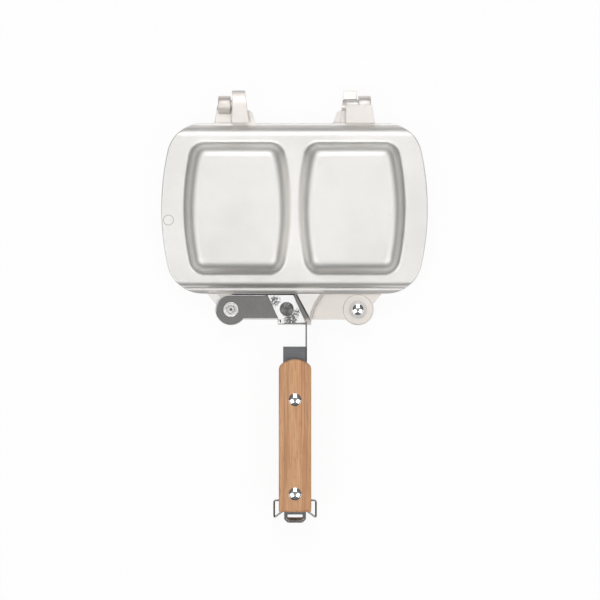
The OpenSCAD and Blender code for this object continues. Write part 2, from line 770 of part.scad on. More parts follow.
module upper_plate() { stand() shell(); }
module lower_plate() { stand() turned() shell(); }
module upper_hinge_pin() { stand() hinge_pin(); }
module lower_hinge_pin() { stand() turned() hinge_pin(); }
module upper_pivot_rivet() { stand() pivot_rivet(); }
module lower_pivot_rivet() { stand() turned() pivot_rivet(); }
module upper_pivot_disc() { stand() pivot_disc(); }
module lower_pivot_disc() { stand() turned() pivot_disc(); }
module upper_inner_washer() { stand() inner_washer(); }
module lower_inner_washer() { stand() turned() inner_washer(); }
module upper_arm_washer() { stand() arm_washer(); }
module lower_arm_washer() { stand() turned() arm_washer(); }
module upper_arm() { stand() arm(); }
module lower_arm() { stand() turned() arm(); }
module upper_stem() { stand() upper_stem_body(); }
module lower_stem() { stand() turned() lower_stem_body(); }
module upper_stem_rivet() { stand() stem_rivet(); }
module lower_stem_rivet() { stand() turned() stem_rivet(); }
module upper_grip() { stand() grip(handle_x); }
module lower_grip() { stand() turned() grip(-handle_x); }
module upper_grip_rivets() { stand() grip_rivets(handle_x); }
module lower_grip_rivets() { stand() turned() grip_rivets(-handle_x); }
module keeper_wire() { stand() wire(); }

lower_plate();
lower_hinge_pin();
lower_pivot_rivet();
lower_pivot_disc();
lower_inner_washer();
lower_arm_washer();
upper_plate();
upper_hinge_pin();
upper_pivot_rivet();
upper_pivot_disc();
upper_inner_washer();
upper_arm_washer();
lower_arm();
lower_stem();
lower_stem_rivet();
lower_grip();
lower_grip_rivets();
upper_arm();
upper_stem();
upper_stem_rivet();
upper_grip();
upper_grip_rivets();
keeper_wire();
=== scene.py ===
import functools
import math
import bpy
import numpy as np
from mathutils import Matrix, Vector


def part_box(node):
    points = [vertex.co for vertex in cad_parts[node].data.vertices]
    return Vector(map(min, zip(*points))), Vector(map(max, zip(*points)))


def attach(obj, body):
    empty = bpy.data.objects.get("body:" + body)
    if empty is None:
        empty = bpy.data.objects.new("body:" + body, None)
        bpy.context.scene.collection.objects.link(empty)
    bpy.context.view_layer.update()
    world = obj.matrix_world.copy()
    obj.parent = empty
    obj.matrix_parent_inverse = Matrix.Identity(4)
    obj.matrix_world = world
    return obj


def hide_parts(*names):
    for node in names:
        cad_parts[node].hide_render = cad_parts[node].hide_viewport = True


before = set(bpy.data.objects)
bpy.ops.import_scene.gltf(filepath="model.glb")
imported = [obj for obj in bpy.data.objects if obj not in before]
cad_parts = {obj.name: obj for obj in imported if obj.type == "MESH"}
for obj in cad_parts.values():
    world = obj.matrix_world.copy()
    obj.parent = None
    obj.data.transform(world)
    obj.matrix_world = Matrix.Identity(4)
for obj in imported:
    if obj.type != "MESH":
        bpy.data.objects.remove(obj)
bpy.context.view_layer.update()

print("frame loaded,", len(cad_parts), "nodes")

# Shapes below are in millimetres about the middle of the closed shells, with +Z outwards from the
# parting plane.  placed() carries them into the frame, and the lower half is turned about Y.
shell = {
    "width": 224.0, "depth": 143.5, "corner": 30.2, "bow": 222.0, "wall": 2.7, "edge": 2.8,
    "band": 9.0, "hingeStrip": 2.0, "hingeShoulder": 9.5, "gripStrip": 5.2, "gripLip": 3.1,
    "gripShoulder": 6.0, "lipDrop": 1.6, "partGap": 0.3, "rim": 1.0,
    "squareWidth": 93.2, "squareDepth": 115.0, "squareGap": 3.2, "squareHeight": 21.0,
    "squareCorner": 14.3, "foot": 4.0, "brow": 10.5, "slope": 70.0, "cornerKeep": 0.7,
}
halfWidth, halfDepth = shell["width"] / 2, shell["depth"] / 2
baseZ = shell["partGap"] / 2
hookEnd = 27.5  # from the shell's back edge to the back of the hooks
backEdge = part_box("upper_plate")[1].y * 1000 - hookEnd
shellMidY = backEdge - halfDepth
partingZ = (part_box("upper_plate")[1].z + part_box("lower_plate")[0].z) * 500


def placed(points, lower=False):
    # Frame coordinates in metres: the lower half is turned half round about Y first.
    p = np.asarray(points, float).reshape(-1, 3).copy()
    if lower:
        p[:, 0] *= -1
        p[:, 2] *= -1
    return (p + [0.0, shellMidY, partingZ]) / 1000


def meshPiece(name, points, faces, lower=False):
    # A mesh object at the origin from points in millimetres and a list of faces.
    mesh = bpy.data.meshes.new(name)
    mesh.from_pydata(placed(points, lower).tolist(), [], [list(map(int, f)) for f in faces])
    mesh.validate()
    mesh.polygons.foreach_set("use_smooth", [True] * len(mesh.polygons))
    piece = bpy.data.objects.new(name, mesh)
    bpy.context.scene.collection.objects.link(piece)
    return piece


def ringStack(rings, ends="fan"):
    # Quads between equal rings of points.  Each end is closed by a fan about its middle or by one
    # face, or in a loop the last ring is joined to the first.
    rings = np.asarray(rings, float)
    m, n = rings.shape[:2]
    i = np.arange(n)
    k = (i + 1) % n
    j = np.arange(m if ends == "loop" else m - 1)[:, None]
    a, b = j * n, (j + 1) % m * n
    quads = np.stack([a + i, a + k, b + k, b + i], axis=-1).reshape(-1, 4).tolist()
    points = rings.reshape(-1, 3)
    if ends == "loop":
        return points, quads
    if ends == "face":
        return points, quads + [list(range(n - 1, -1, -1)), list(range((m - 1) * n, m * n))]
    low, top = m * n, m * n + 1
    quads += [[low, b, a] for a, b in zip(i, k)]
    quads += [[top, (m - 1) * n + a, (m - 1) * n + b] for a, b in zip(i, k)]
    return np.vstack([points, rings[0].mean(0), rings[-1].mean(0)]), quads


def softEdges(piece, width, angle=35.0, segments=2):
    # Rounds the edges sharper than angle and keeps the flats flat.
    bevel = piece.modifiers.new("edges", "BEVEL")
    bevel.width = width / 1000
    bevel.segments = segments
    bevel.limit_method = "ANGLE"
    bevel.angle_limit = math.radians(angle)
    bevel.harden_normals = True
    return piece


def arc(centre, radius, start, end, steps):
    # Points of an arc: centre + radius (cos t, sin t), with t in degrees from start to end.
    t = np.radians(np.linspace(start, end, steps))
    return np.stack([centre[0] + radius * np.cos(t), centre[1] + radius * np.sin(t)], axis=1)


def prism(name, outline, low, high, lower=False, axis="z", edge=0.4):
    # A closed outline carried straight from low to high; either may vary from point to point.
    o = np.asarray(outline, float)
    area = np.sum(o[:, 0] * np.roll(o[:, 1], -1) - np.roll(o[:, 0], -1) * o[:, 1])
    if area < 0:
        o = o[::-1]
        low = low[::-1] if np.ndim(low) else low
        high = high[::-1] if np.ndim(high) else high
    n = len(o)
    lowZ, highZ = np.broadcast_to(low, n), np.broadcast_to(high, n)
    # Along x the outline lies in Y-Z.
    rings = [np.column_stack([o, z] if axis == "z" else [z, o]) for z in (lowZ, highZ)]
    return softEdges(meshPiece(name, *ringStack(rings, "face"), lower), edge)


def lathe(name, profile, centre, lower=False, axis="z", steps=96, wave=None, ends="fan"):
    # A profile of (radius, height) turned about an axis through centre; wave(t) scales the radius.
    p = np.asarray(profile, float)
    t = np.linspace(0, 2 * math.pi, steps, endpoint=False)
    scale = np.ones_like(t) if wave is None else wave(t)
    x = p[:, :1] * np.cos(t) * scale
    y = p[:, :1] * np.sin(t) * scale
    z = np.repeat(p[:, 1:], steps, axis=1)
    rings = np.stack([x, y, z], axis=-1) if axis == "z" else np.stack([z, x, y], axis=-1)
    return meshPiece(name, *ringStack(rings + np.asarray(centre, float), ends), lower)


def roundBar(radius, length, cut, soft, run):
    # Profile of a round bar: each end is drawn in by soft at height soft and by cut at the end face,
    # and is full again after run.
    end = [(radius - cut, 0.0), (radius - soft, soft), (radius, run)]
    return end + [(r, length - z) for r, z in end[::-1]]


def tube(name, path, radius, sides=20):
    # A round tube along a path, with rings turned by the least twist from one to the next.
    p = np.asarray(path, float)
    d = np.gradient(p, axis=0)
    d /= np.linalg.norm(d, axis=1)[:, None]
    side = np.zeros_like(d)
    ref = np.cross(d[0], [0, 0, 1.0]) if abs(d[0][2]) < 0.9 else np.cross(d[0], [1.0, 0, 0])
    for i in range(len(d)):
        ref = ref - d[i] * (ref @ d[i])
        ref /= np.linalg.norm(ref)
        side[i] = ref
    up = np.cross(d, side)
    t = np.linspace(0, 2 * math.pi, sides, endpoint=False)
    turn = np.cos(t)[:, None] * side[:, None] + np.sin(t)[:, None] * up[:, None]
    return meshPiece(name, *ringStack(p[:, None] + radius * turn))


def twoSkins(name, outer, inner, lower=False):
    # A closed sheet between two grids of points, the first outwards, joined round their borders.
    m, n = outer.shape[:2]
    i, j = np.meshgrid(np.arange(m - 1), np.arange(n - 1), indexing="ij")
    a = (i * n + j).ravel()
    quads = np.stack([a, a + 1, a + n + 1, a + n], axis=1)
    below = quads[:, ::-1] + m * n
    edge = np.concatenate([np.arange(n), np.arange(2 * n - 1, m * n, n),
                           np.arange(m * n - 2, (m - 1) * n - 1, -1), np.arange((m - 2) * n, 0, -n)])
    follow = np.roll(edge, -1)
    wall = np.stack([follow, edge, edge + m * n, follow + m * n], axis=1)
    points = np.vstack([outer.reshape(-1, 3), inner.reshape(-1, 3)])
    return meshPiece(name, points, np.vstack([quads, below, wall]), lower)


def bowedInset(x, y, halfW, halfD, corner, bow, keep, steps=34):
    # How far inside a bowed outline a point lies.  The outline drawn in by d keeps its side arc's
    # centre, and its corner radius shrinks by keep times d; the corner's centre follows from both.  A
    # point in the corner's sector is measured from that centre, any other from the side arc and the
    # straight edge, and the largest d that still holds the point is found by halving.
    centreX = halfW - bow
    side, top = bow - np.hypot(x - centreX, y), halfD - y
    low = np.full_like(x, -1.0)
    high = np.maximum(np.minimum(side, top), low)
    for _ in range(steps):
        d = (low + high) / 2
        r = np.maximum(corner - keep * d, 0.5)
        cy = halfD - d - r
        cx = np.sqrt(np.maximum((bow - d - r) ** 2 - cy ** 2, 0))
        px, py = x - centreX - cx, y - cy
        sector = (px > 0) & (py > 0) & (py * cx > px * cy)
        inside = np.where(sector, np.hypot(px, py) <= r, (side >= d) & (top >= d))
        low, high = np.where(inside, d, low), np.where(inside, high, d)
    return (low + high) / 2


def outlineInset(x, y):
    # Distance inside the shell's outline, parallel round the corners.
    return bowedInset(np.abs(x), np.abs(y), halfWidth, halfDepth, shell["corner"], shell["bow"], 1.0)


def squareInset(x, y):
    # Distance inside the nearer raised square's foot.
    middle = (shell["squareWidth"] + shell["squareGap"]) / 2
    return bowedInset(np.abs(np.abs(x) - middle), np.abs(y), shell["squareWidth"] / 2,
                      shell["squareDepth"] / 2, shell["squareCorner"], shell["bow"], shell["cornerKeep"])


def squareRise(d, shift):
    # Height over a raised square: hollow foot, straight slope, round brow, flat face; shift is the
    # distance inwards from the outer skin to a parallel one.
    a = math.radians(shell["slope"])
    foot, brow = shell["foot"] + shift, shell["brow"] - shift
    straight = shell["squareHeight"] - shell["band"] - (shell["foot"] + shell["brow"]) * (1 - math.cos(a))
    run = (shell["foot"] + shell["brow"]) * math.sin(a) + straight / math.tan(a)
    z1 = shell["band"] + shell["foot"] - np.sqrt(np.maximum(foot ** 2 - d ** 2, 0))
    left = np.maximum(run - d, 0)
    z3 = shell["squareHeight"] - shell["brow"] + np.sqrt(np.maximum(brow ** 2 - left ** 2, 0))
    d1, d2 = foot * math.sin(a), run - brow * math.sin(a)
    zd1 = shell["band"] + shell["foot"] - foot * math.cos(a)
    z2 = zd1 + (d - d1) * math.tan(a)
    return np.where(d < d1, z1, np.where(d < d2, z2, z3))


def bandRise(y, shift):
    # Height of the band across the shell: flat, then a round shoulder to the thin edge.
    rise = shell["band"] - shell["edge"]
    hingeFoot, gripFoot = halfDepth - shell["hingeStrip"], halfDepth - shell["gripStrip"]

    def shoulder(out, foot, run):
        # Height on one side, and where the skin has run past its shoulder.
        flat, r = foot - run, (run ** 2 + rise ** 2) / (2 * rise)
        left = np.maximum(out - flat, 0)
        z = shell["band"] - r + np.sqrt(np.maximum((r - shift) ** 2 - left ** 2, 0))
        return z, out > flat + r - shift
    hingeZ, hingePast = shoulder(y, hingeFoot, shell["hingeShoulder"])
    gripZ, gripPast = shoulder(-y, gripFoot, shell["gripShoulder"])
    z = np.where(y > 0, hingeZ, gripZ)
    if shift:
        return np.where(hingePast | gripPast, baseZ, np.minimum(z, shell["band"] - shift))
    strip = np.where(y > hingeFoot, shell["edge"], z)
    past = np.clip((-y - halfDepth + shell["gripLip"]) / shell["gripLip"], 0, 1)
    return np.where(-y > gripFoot, shell["edge"] - shell["lipDrop"] * past, strip)


def shellSkin(x, y, shift):
    # Height of the outer skin (shift 0) or of the skin inside the wall, above the parting plane.
    z = bandRise(y, shift)
    d = squareInset(x, y)
    over = squareRise(np.maximum(d, 0), shift)
    return np.where(d > 0, np.maximum(over, z), z)


def castShell(name, lower):
    # Outer and inner skins over one grid that fits the outline: x = u W(y), where W(y) is the
    # half width there, and y runs evenly on the flats and by the angle round the corners.
    cy = halfDepth - shell["corner"]
    x0 = halfWidth - shell["bow"]
    cx = x0 + math.sqrt((shell["bow"] - shell["corner"]) ** 2 - cy ** 2)
    bend = math.atan2(cy, cx - x0)
    yBow = shell["bow"] * math.sin(bend)
    t = np.linspace(math.asin((yBow - cy) / shell["corner"]), math.pi / 2, 44)
    flat = np.linspace(-yBow, yBow, 101)
    corner = cy + shell["corner"] * np.sin(t[1:])
    ys = np.concatenate([-corner[::-1], flat, corner])
    wide = np.where(np.abs(ys) <= yBow, x0 + np.sqrt(shell["bow"] ** 2 - ys ** 2),
                    cx + np.sqrt(np.maximum(shell["corner"] ** 2 - (np.abs(ys) - cy) ** 2, 0)))
    half = np.concatenate([np.linspace(0, 0.972, 112),
                           [0.975, 0.978, 0.984, 0.989, 0.9925, 0.995, 0.997, 0.9985, 1.0]])
    us = np.concatenate([-half[:0:-1], half])
    y, u = np.meshgrid(ys, us, indexing="ij")
    x = u * wide[:, None]
    inset = outlineInset(x, y)
    top = shellSkin(x, y, 0.0)
    rim = np.where(top > 5.0, shell["rim"], 0.5)
    fall = np.clip(inset / rim, 0, 1)
    top = top - rim * (1 - np.sqrt(np.maximum(1 - (1 - fall) ** 2, 0)))
    under = shellSkin(x, y, shell["wall"])
    step = np.clip((inset - shell["wall"] + 0.2) / 0.8, 0, 1)
    under = baseZ + (under - baseZ) * step * step * (3 - 2 * step)
    under = np.minimum(under, top - 0.8)
    under[[0, -1], :] = baseZ
    under[:, [0, -1]] = baseZ
    return twoSkins(name, np.stack([x, y, top], axis=-1), np.stack([x, y, under], axis=-1), lower)


# Finishes.  Socket wraps a shader socket, so that an expression on values adds its Math nodes.
def maths(operation, swap=False):
    # A method that adds one Math node for two values, the second one first where swap is set.
    def method(first, second=0.0):
        values = {0: second, 1: first} if swap else {0: first, 1: second}
        return first.owner.node("Math", {"operation": operation}, values)
    return method


class Socket:
    __add__, __radd__ = maths("ADD"), maths("ADD", True)
    __sub__, __rsub__ = maths("SUBTRACT"), maths("SUBTRACT", True)
    __mul__, __rmul__ = maths("MULTIPLY"), maths("MULTIPLY", True)
    __pow__, __abs__ = maths("POWER"), maths("ABSOLUTE")

    def __init__(self, owner, link):
        self.owner, self.link = owner, link


class Nodes:
    # A node tree: feed() sets or links a socket, and node() adds a node and gives back one output.
    def __init__(self, tree):
        self.tree = tree

    def feed(self, target, value):
        if isinstance(value, Socket):
            self.tree.links.new(value.link, target)
        else:
            target.default_value = value

    def node(self, kind, settings, sockets, out=0):
        made = self.tree.nodes.new("ShaderNode" + kind)
        for key, value in settings.items():
            if key == "stops":
                ramp = made.color_ramp
                while len(ramp.elements) < len(value):
                    ramp.elements.new(0.5)
                for stop, (at, shade) in zip(ramp.elements, value):
                    stop.position, stop.color = at, (*shade, 1.0) if len(shade) == 3 else shade
            else:
                setattr(made, key, value)
        for key, value in sockets.items():
            self.feed(made.inputs[key], value)
        return Socket(self, made.outputs[out])


class Finish(Nodes):
    # One material: constants go to the shader's own sockets, what varies comes from node().
    def __init__(self, name, color, metallic, roughness, **more):
        self.material = bpy.data.materials.new(name)
        self.material.use_nodes = True
        super().__init__(self.material.node_tree)
        self.shader = self.tree.nodes["Principled BSDF"]
        self.set(**{"Base Color": (*color, 1.0), "Metallic": metallic, "Roughness": roughness}, **more)
        self.place = self.node("TexCoord", {}, {}, out="Object")

    def set(self, **sockets):
        for key, value in sockets.items():
            self.feed(self.shader.inputs[key.replace("_", " ")], value)

    def noise(self, scale, detail=4.0, roughness=0.6, stretch=None):
        # Noise over Object coordinates; stretch gives the lengths of a streak along X, Y and Z.
        place = self.place
        if stretch:
            place = self.node("Mapping", {}, {"Vector": place, "Scale": tuple(1.0 / v for v in stretch)})
        return self.node("TexNoise", {}, {"Vector": place, "Scale": scale, "Detail": detail,
                                          "Roughness": roughness})

    def ramp(self, value, low, high):
        # 0 below low, 1 above high, smooth between.
        return self.node("MapRange", {"interpolation_type": "SMOOTHSTEP"},
                         {"Value": value, "From Min": low, "From Max": high})

    def mix(self, factor, first, second):
        made = self.tree.nodes.new("ShaderNodeMix")
        made.data_type = "RGBA"
        for index, value in ((0, factor), (6, first), (7, second)):
            plain = isinstance(value, tuple) and len(value) == 3
            self.feed(made.inputs[index], (*value, 1.0) if plain else value)
        return Socket(self, made.outputs[2])

    def gap(self, x, y):
        # Distance from the upright line through (x, y), in Object coordinates.
        flat = self.node("VectorMath", {"operation": "MULTIPLY"}, {0: self.place, 1: (1.0, 1.0, 0.0)})
        return self.node("VectorMath", {"operation": "DISTANCE"}, {0: flat, 1: (x, y, 0.0)}, out="Value")

    def dress(self, color, height, strength, distance):
        # Base colour, and a fine relief that follows height.
        relief = self.node("Bump", {}, {"Height": height, "Strength": strength, "Distance": distance})
        self.set(**{"Base Color": color, "Normal": relief})

    def onto(self, *pieces):
        for piece in pieces:
            piece.data.materials.append(self.material)


def most(values):
    # The largest of some sockets' values.
    return functools.reduce(maths("MAXIMUM"), values)


# The near-black last colour is painted dark reflection for the face plates.
finishes = {
    "cast": (0.80, 0.785, 0.765), "castGrain": 1500.0, "castCloud": 14.0, "castRough": 0.50,
    "arm": (0.21, 0.208, 0.205), "steel": (0.62, 0.62, 0.62), "tang": (0.20, 0.205, 0.215),
    "bambooPale": (0.72, 0.395, 0.205), "bambooDark": (0.50, 0.235, 0.105), "bambooStrips": 190.0,
    "bambooRust": (0.56, 0.235, 0.100), "plate": (0.93, 0.93, 0.93), "paintedReflection": (0.05, 0.048, 0.046),
}


def toned(color, share):
    return tuple(min(v * share, 1.0) for v in color)


def castFinish(name, marks=(), tint=(1.0, 1.0, 1.0)):
    # Blasted cast aluminium: soft satin with fine grain, faint clouds, and ejector marks as thin
    #     # dark rings.  A mark darkens the colour by a narrow hump at its radius from its centre.
    color = tuple(a * b for a, b in zip(finishes["cast"], tint))
    look = Finish(name, color, 0.90, finishes["castRough"])
    grain = look.noise(finishes["castGrain"], 3.0, 0.7)
    cloud = look.noise(finishes["castCloud"], 3.0, 0.55)
    fleck = look.ramp(look.noise(420.0, 2.0, 0.5), 0.62, 0.78)
    shade = look.mix(look.ramp(cloud, 0.3, 0.7), toned(color, 0.955), toned(color, 1.045))
    shade = look.mix(fleck * 0.18, shade, toned(color, 0.8))
    look.set(Roughness=finishes["castRough"] + 0.10 * (cloud - 0.5) + 0.06 * (grain - 0.5))
    height = grain * 0.6 + fleck * -0.25
    if marks:
        rings = [(1.0 - look.ramp(abs(look.gap(x, y) - radius), width * 0.35, width)) * depth
                 for x, y, radius, width, depth in marks]
        shade = look.mix(most(rings) * 0.5, shade, toned(color, 0.42))
    look.dress(shade, height, 0.35, 0.00012)
    return look


def steelFinish(name, color, roughness, brushed=0.0, metallic=1.0, wear=0.12):
    # Steel: even metal with faint smudges in its gloss and, where brushed, fine streaks along X.
    look = Finish(name, color, metallic, roughness)
    smudge = look.noise(60.0, 4.0, 0.6)
    fine = look.noise(900.0, 3.0, 0.6, stretch=(12.0, 1.0, 1.0) if brushed else None)
    worn = smudge * (2 * wear * roughness) + fine * (0.4 * brushed * roughness)
    look.set(Roughness=worn + roughness * (1.0 - wear))
    tone = look.ramp(fine * 0.6 + smudge * 0.4, 0.35, 0.65)
    shade = look.mix(tone, toned(color, 1.0 - wear), toned(color, 1.0 + wear * 0.6))
    look.dress(shade, fine, 0.10 + 0.3 * brushed, 0.00005)
    return look


def toMetres(x, y):
    # A place on the upper half in frame metres, for marks in a finish.
    p = placed([[x, y, 0.0]])[0]
    return float(p[0]), float(p[1])


markSizes = [(-105.9, -9.9, 4.2, 0.42, 1.6), (98.5, 52.2, 3.9, 0.28, 0.30), (-97.9, 56.4, 3.9, 0.28, 0.16),
             (-97.9, -54.4, 3.9, 0.28, 0.16), (100.4, -54.4, 3.9, 0.28, 0.14)]
upperMarks = [(*toMetres(x, y), r / 1000, w / 1000, depth) for x, y, r, w, depth in markSizes]
lowerMarks = [(-x, y, r, w, depth) for x, y, r, w, depth in upperMarks]
castUpper = castFinish("castUpper", upperMarks)
castLower = castFinish("castLower", lowerMarks)
castPlain = castFinish("castPlain")
castHinge = castFinish("castHinge", tint=(1.0, 0.97, 0.955))
# A darker, warmer copy of the cast finish paints shade on low and tucked-in pieces: the lug steps, the
# bosses and the lower half's barrel.
castShaded = castFinish("castShaded", tint=(0.93, 0.895, 0.865))
print("finishes for the castings ready")


def castPiece(piece, lower, look=castPlain):
    # Every cast piece rides on its own half and takes the cast slot.
    look.onto(piece)
    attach(piece, "lower_half" if lower else "upper_half")
    return piece


halves = (("upper", False), ("lower", True))
for half, lower in halves:
    body = castPiece(castShell(half + "Shell", lower), lower, castLower if lower else castUpper)
    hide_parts(half + "_plate")
print("shells made")

# Lugs that carry the handles.
lug = {
    "pivotX": 53.5, "pivotReach": 13.35, "armRadius": 12.6, "margin": 0.6, "floor": 4.5, "land": 7.6,
    "under": 0.95, "step": 2.0, "side": 19.6, "low": 8.4, "tipX": 14.0, "tipReach": 26.2, "tipWidth": 22.0,
    "tipRun": 4.0, "arcX": 52.5, "arcReach": 27.2, "landX": 1.75, "landFootX": 14.5, "landReach": 23.9,
    "draft": 2.3, "draftLeft": 1.3, "lap": 0.05, "turnIn": 4.2, "grooveDeep": 2.6, "grooveLow": 3.6,
    "grooveHigh": 4.0, "grooveEnd": 9.0, "grooveRoot": 11.5, "landEase": 1.0, "bossDrop": 0.4,
}
front = -halfDepth
pivot = np.array([-lug["pivotX"], front - lug["pivotReach"]])
hollowCentre = np.array([lug["arcX"], front - lug["arcReach"]])
tipY = front - lug["tipReach"]
hollowRadius = math.hypot(hollowCentre[0] - lug["tipX"], hollowCentre[1] - tipY)


def hollowArc(radius, lowY, highY, steps=48):
    # The lug's hollow arc between two heights, going up.
    low = 180 - math.degrees(math.asin((lowY - hollowCentre[1]) / radius))
    high = 180 - math.degrees(math.asin((highY - hollowCentre[1]) / radius))
    return arc(hollowCentre, radius, low, high, steps)


def lugOutline(groove=False):
    # Root, round end about the pivot, lower edge, tip, and the hollow arc back up to the shell.
    # With groove, the outline leaves a slot open along the arm's upper edge and beside the land.
    r = lug["armRadius"] + lug["margin"]
    rootX = pivot[0] - lug["side"]
    turnIn = 180 - math.degrees(math.asin(lug["turnIn"] / r))
    turnOut = 360 - math.degrees(math.asin(lug["low"] / r))
    start = [[rootX, front - lug["lap"]], [rootX, front - 0.3]]
    foot = [[lug["tipX"] - lug["tipWidth"] - lug["tipRun"], pivot[1] - lug["low"]],
            [lug["tipX"] - lug["tipWidth"], tipY]]
    if groove:
        grooveY = front - lug["grooveDeep"]
        side = [[lug["landFootX"] - lug["grooveLow"], tipY], [lug["landX"] - lug["grooveHigh"], grooveY],
                [pivot[0] - lug["grooveEnd"], grooveY], [pivot[0] - lug["grooveRoot"], front - lug["lap"]]]
        return np.vstack([start, arc(pivot, r, turnIn, turnOut, 64), foot, side])
    return np.vstack([start, arc(pivot, r, turnIn, turnOut, 64), foot,
                      hollowArc(hollowRadius, tipY, front - lug["lap"])])


def landRing(z, draft, left):
    # Outline of the land at one height: slanted wall, then the hollow arc drawn in by its draft.
    radius = hollowRadius + draft
    top = np.array([lug["landX"] - lug["landEase"] + left, front - lug["lap"]])
    foot = np.array([lug["landFootX"] - lug["landEase"] + left, front - lug["landReach"]])
    t = np.linspace(0, 1.2, 2400)
    line = top + (foot - top) * t[:, None]
    away = np.hypot(*(line - hollowCentre).T)
    meet = line[np.argmax(away < radius) - 1] if np.any(away < radius) else foot
    ring = np.vstack([top + (meet - top) * np.linspace(0, 1, 24)[:, None],
                      hollowArc(radius, meet[1], front - lug["lap"])[1:]])
    return np.column_stack([ring, np.full(len(ring), z)])


for half, lower in halves:
    plinth = prism(half + "Lug", lugOutline(), lug["under"], lug["step"], lower, edge=0.3)
    castPiece(plinth, lower, castShaded)
    floor = prism(half + "LugFloor", lugOutline(True), lug["under"] + 0.1, lug["floor"], lower, edge=0.45)
    castPiece(floor, lower)
    ring = arc(pivot, lug["armRadius"], 0, 357, 120)
    boss = prism(half + "Boss", ring, baseZ, lug["floor"] - lug["bossDrop"], lower, edge=0.55)
    castPiece(boss, lower, castShaded)
    rings = [landRing(lug["under"] + 0.2, 0.0, 0.0), landRing(lug["land"], lug["draft"], lug["draftLeft"])]
    land = meshPiece(half + "Land", *ringStack(rings, "face"), lower)
    castPiece(softEdges(land, 0.6, segments=3), lower)
print("front lugs made")

# Hinge: hook on one side, barrel lug on the other.
hinge = {
    "reach": 15.5, "barrel": 7.6, "pin": 4.2, "barrelX": 53.7, "barrelLength": 10.6, "hookWidth": 10.9,
    "sideGap": 1.2, "top": 7.5, "play": 0.5, "back": 7.3, "flare": 3.4, "backRadius": 22.0, "tipAngle": 8.5,
    "gussetReach": 10.7, "gussetWidth": 6.1, "gussetHeight": 4.65, "gussetLap": 3.2,
    "gussetRoot": 1.4, "gussetEase": 0.6, "gussetTaper": 3.1, "gussetCutX": 4.6, "gussetCutY": 1.8,
    "webFlare": 3.2, "webLap": 1.6, "webTop": 0.8, "webRound": 0.4, "rootDepth": 1.5, "rootDrop": 0.1,
    "pinInset": 0.3, "tipRound": 20.0,
}
hingeY = halfDepth + hinge["reach"]
hookX = hinge["barrelX"] - hinge["sideGap"]
hookIn = hinge["pin"] + hinge["play"]
hookBack = hingeY + hookIn + hinge["back"]
barrelEnd = hinge["barrelX"] + hinge["barrelLength"]
webX = hookX - hinge["hookWidth"] + hinge["webLap"]
webRoundY = hingeY - hinge["webRound"]
rootY, rootZ = halfDepth - hinge["rootDepth"], shell["edge"] - hinge["rootDrop"]
hingeRoot = [[halfDepth, hinge["top"]], [halfDepth, rootZ], [rootY, rootZ]]


def hookProfile():
    # In Y-Z: root, saddle over the pin, slanted tip, round back, flat top.
    slope = math.tan(math.radians(hinge["tipAngle"]))
    inner = arc((hingeY, 0), hookIn, 178, 14, 40)
    tipZ = hinge["tipRound"] * slope * slope + (hookBack - hingeY) * slope
    end = math.degrees(math.acos((hookBack - hingeY) / hinge["backRadius"]))
    back = arc((hingeY, hinge["top"] - hinge["backRadius"]), hinge["backRadius"], end, 90, 30)
    outer = np.vstack([[[hookBack, tipZ]], back])
    return np.vstack([[[rootY, baseZ]], inner, outer, hingeRoot])


def webProfile():
    # In Y-Z: flat web with a saddle over the pin.
    saddle = arc((hingeY, 0), hinge["pin"] + 0.02, 176, 96, 24)
    return np.vstack([[[rootY, baseZ]], saddle, [[webRoundY, hinge["top"]]], hingeRoot])


for half, lower in halves:
    hook = hookProfile()
    rootShare = np.clip((hookBack - hook[:, 0]) / (hookBack - halfDepth), 0, 1)
    side = -hookX + hinge["hookWidth"] + hinge["flare"] * rootShare
    castPiece(prism(half + "Hook", hook, -hookX, side, lower, axis="x", edge=0.5), lower, castHinge)
    web = webProfile()
    share = np.clip((webRoundY - web[:, 0]) / (webRoundY - halfDepth), 0, 1)
    side = barrelEnd + hinge["webTop"] + (hinge["webFlare"] - hinge["webTop"]) * share
    castPiece(prism(half + "Web", web, webX, side, lower, axis="x", edge=0.45), lower, castHinge)
    profile = roundBar(hinge["barrel"], hinge["barrelLength"], 0.7, 0.2, 0.7)
    barrel = lathe(half + "Barrel", profile, (hinge["barrelX"], hingeY, 0), lower, axis="x")
    # The lower half's barrel takes the darker copy as painted shade, the upper one the hinge finish.
    castPiece(barrel, lower, castShaded if lower else castHinge)
    rootX = -hookX + hinge["hookWidth"] + hinge["flare"]
    outX, outY = rootX + hinge["gussetWidth"] - hinge["gussetEase"], halfDepth + hinge["gussetReach"]
    inX, inY = rootX - hinge["gussetLap"], halfDepth - hinge["gussetRoot"]
    cut = (outX - hinge["gussetTaper"], outY - hinge["gussetCutY"])
    gusset = [(inX, inY), (outX, inY), (outX, halfDepth), cut,
              (outX - hinge["gussetCutX"], outY), (inX, outY)]
    heights = [shell["edge"]] * 2 + [hinge["gussetHeight"]] * 4
    castPiece(prism(half + "Gusset", gusset, 0.3, heights, lower, edge=0.5), lower, castHinge)
print("hinge lugs made")

# Pins, rivets, washers and knurled discs.
# Lighter, glossier steel for the arm's fold: the fold is a real raised edge, and its lighter colour paints
# the bend's highlight.
foldHighlightSteel = steelFinish("foldHighlightSteel", finishes["steel"], 0.30)
rivetChrome = steelFinish("rivetChrome", (0.86, 0.86, 0.87), 0.07, wear=0.05)
discSteel = steelFinish("discSteel", (0.72, 0.715, 0.71), 0.48, metallic=0.8, wear=0.3)
# Near-black steel for painted shade: the strip in the gap beside the arm, the line along the face plate's
# lower edge and the plugs in the pivot rivets' bores.
paintedShadeSteel = steelFinish("paintedShadeSteel", (0.07, 0.068, 0.066), 0.35, metallic=0.7)
jointSteel = steelFinish("jointSteel", (0.16, 0.158, 0.155), 0.40, metallic=0.8, wear=0.6)
washerSteel = steelFinish("washerSteel", (0.62, 0.60, 0.585), 0.50, metallic=0.7)


def steelPiece(piece, body, slot, look, *nodes):
    # A finish, a body and a material slot, which is not used; nodes are the solids that it stands for.
    look.onto(piece)
    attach(piece, body)
    if nodes:
        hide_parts(*nodes)
    return piece


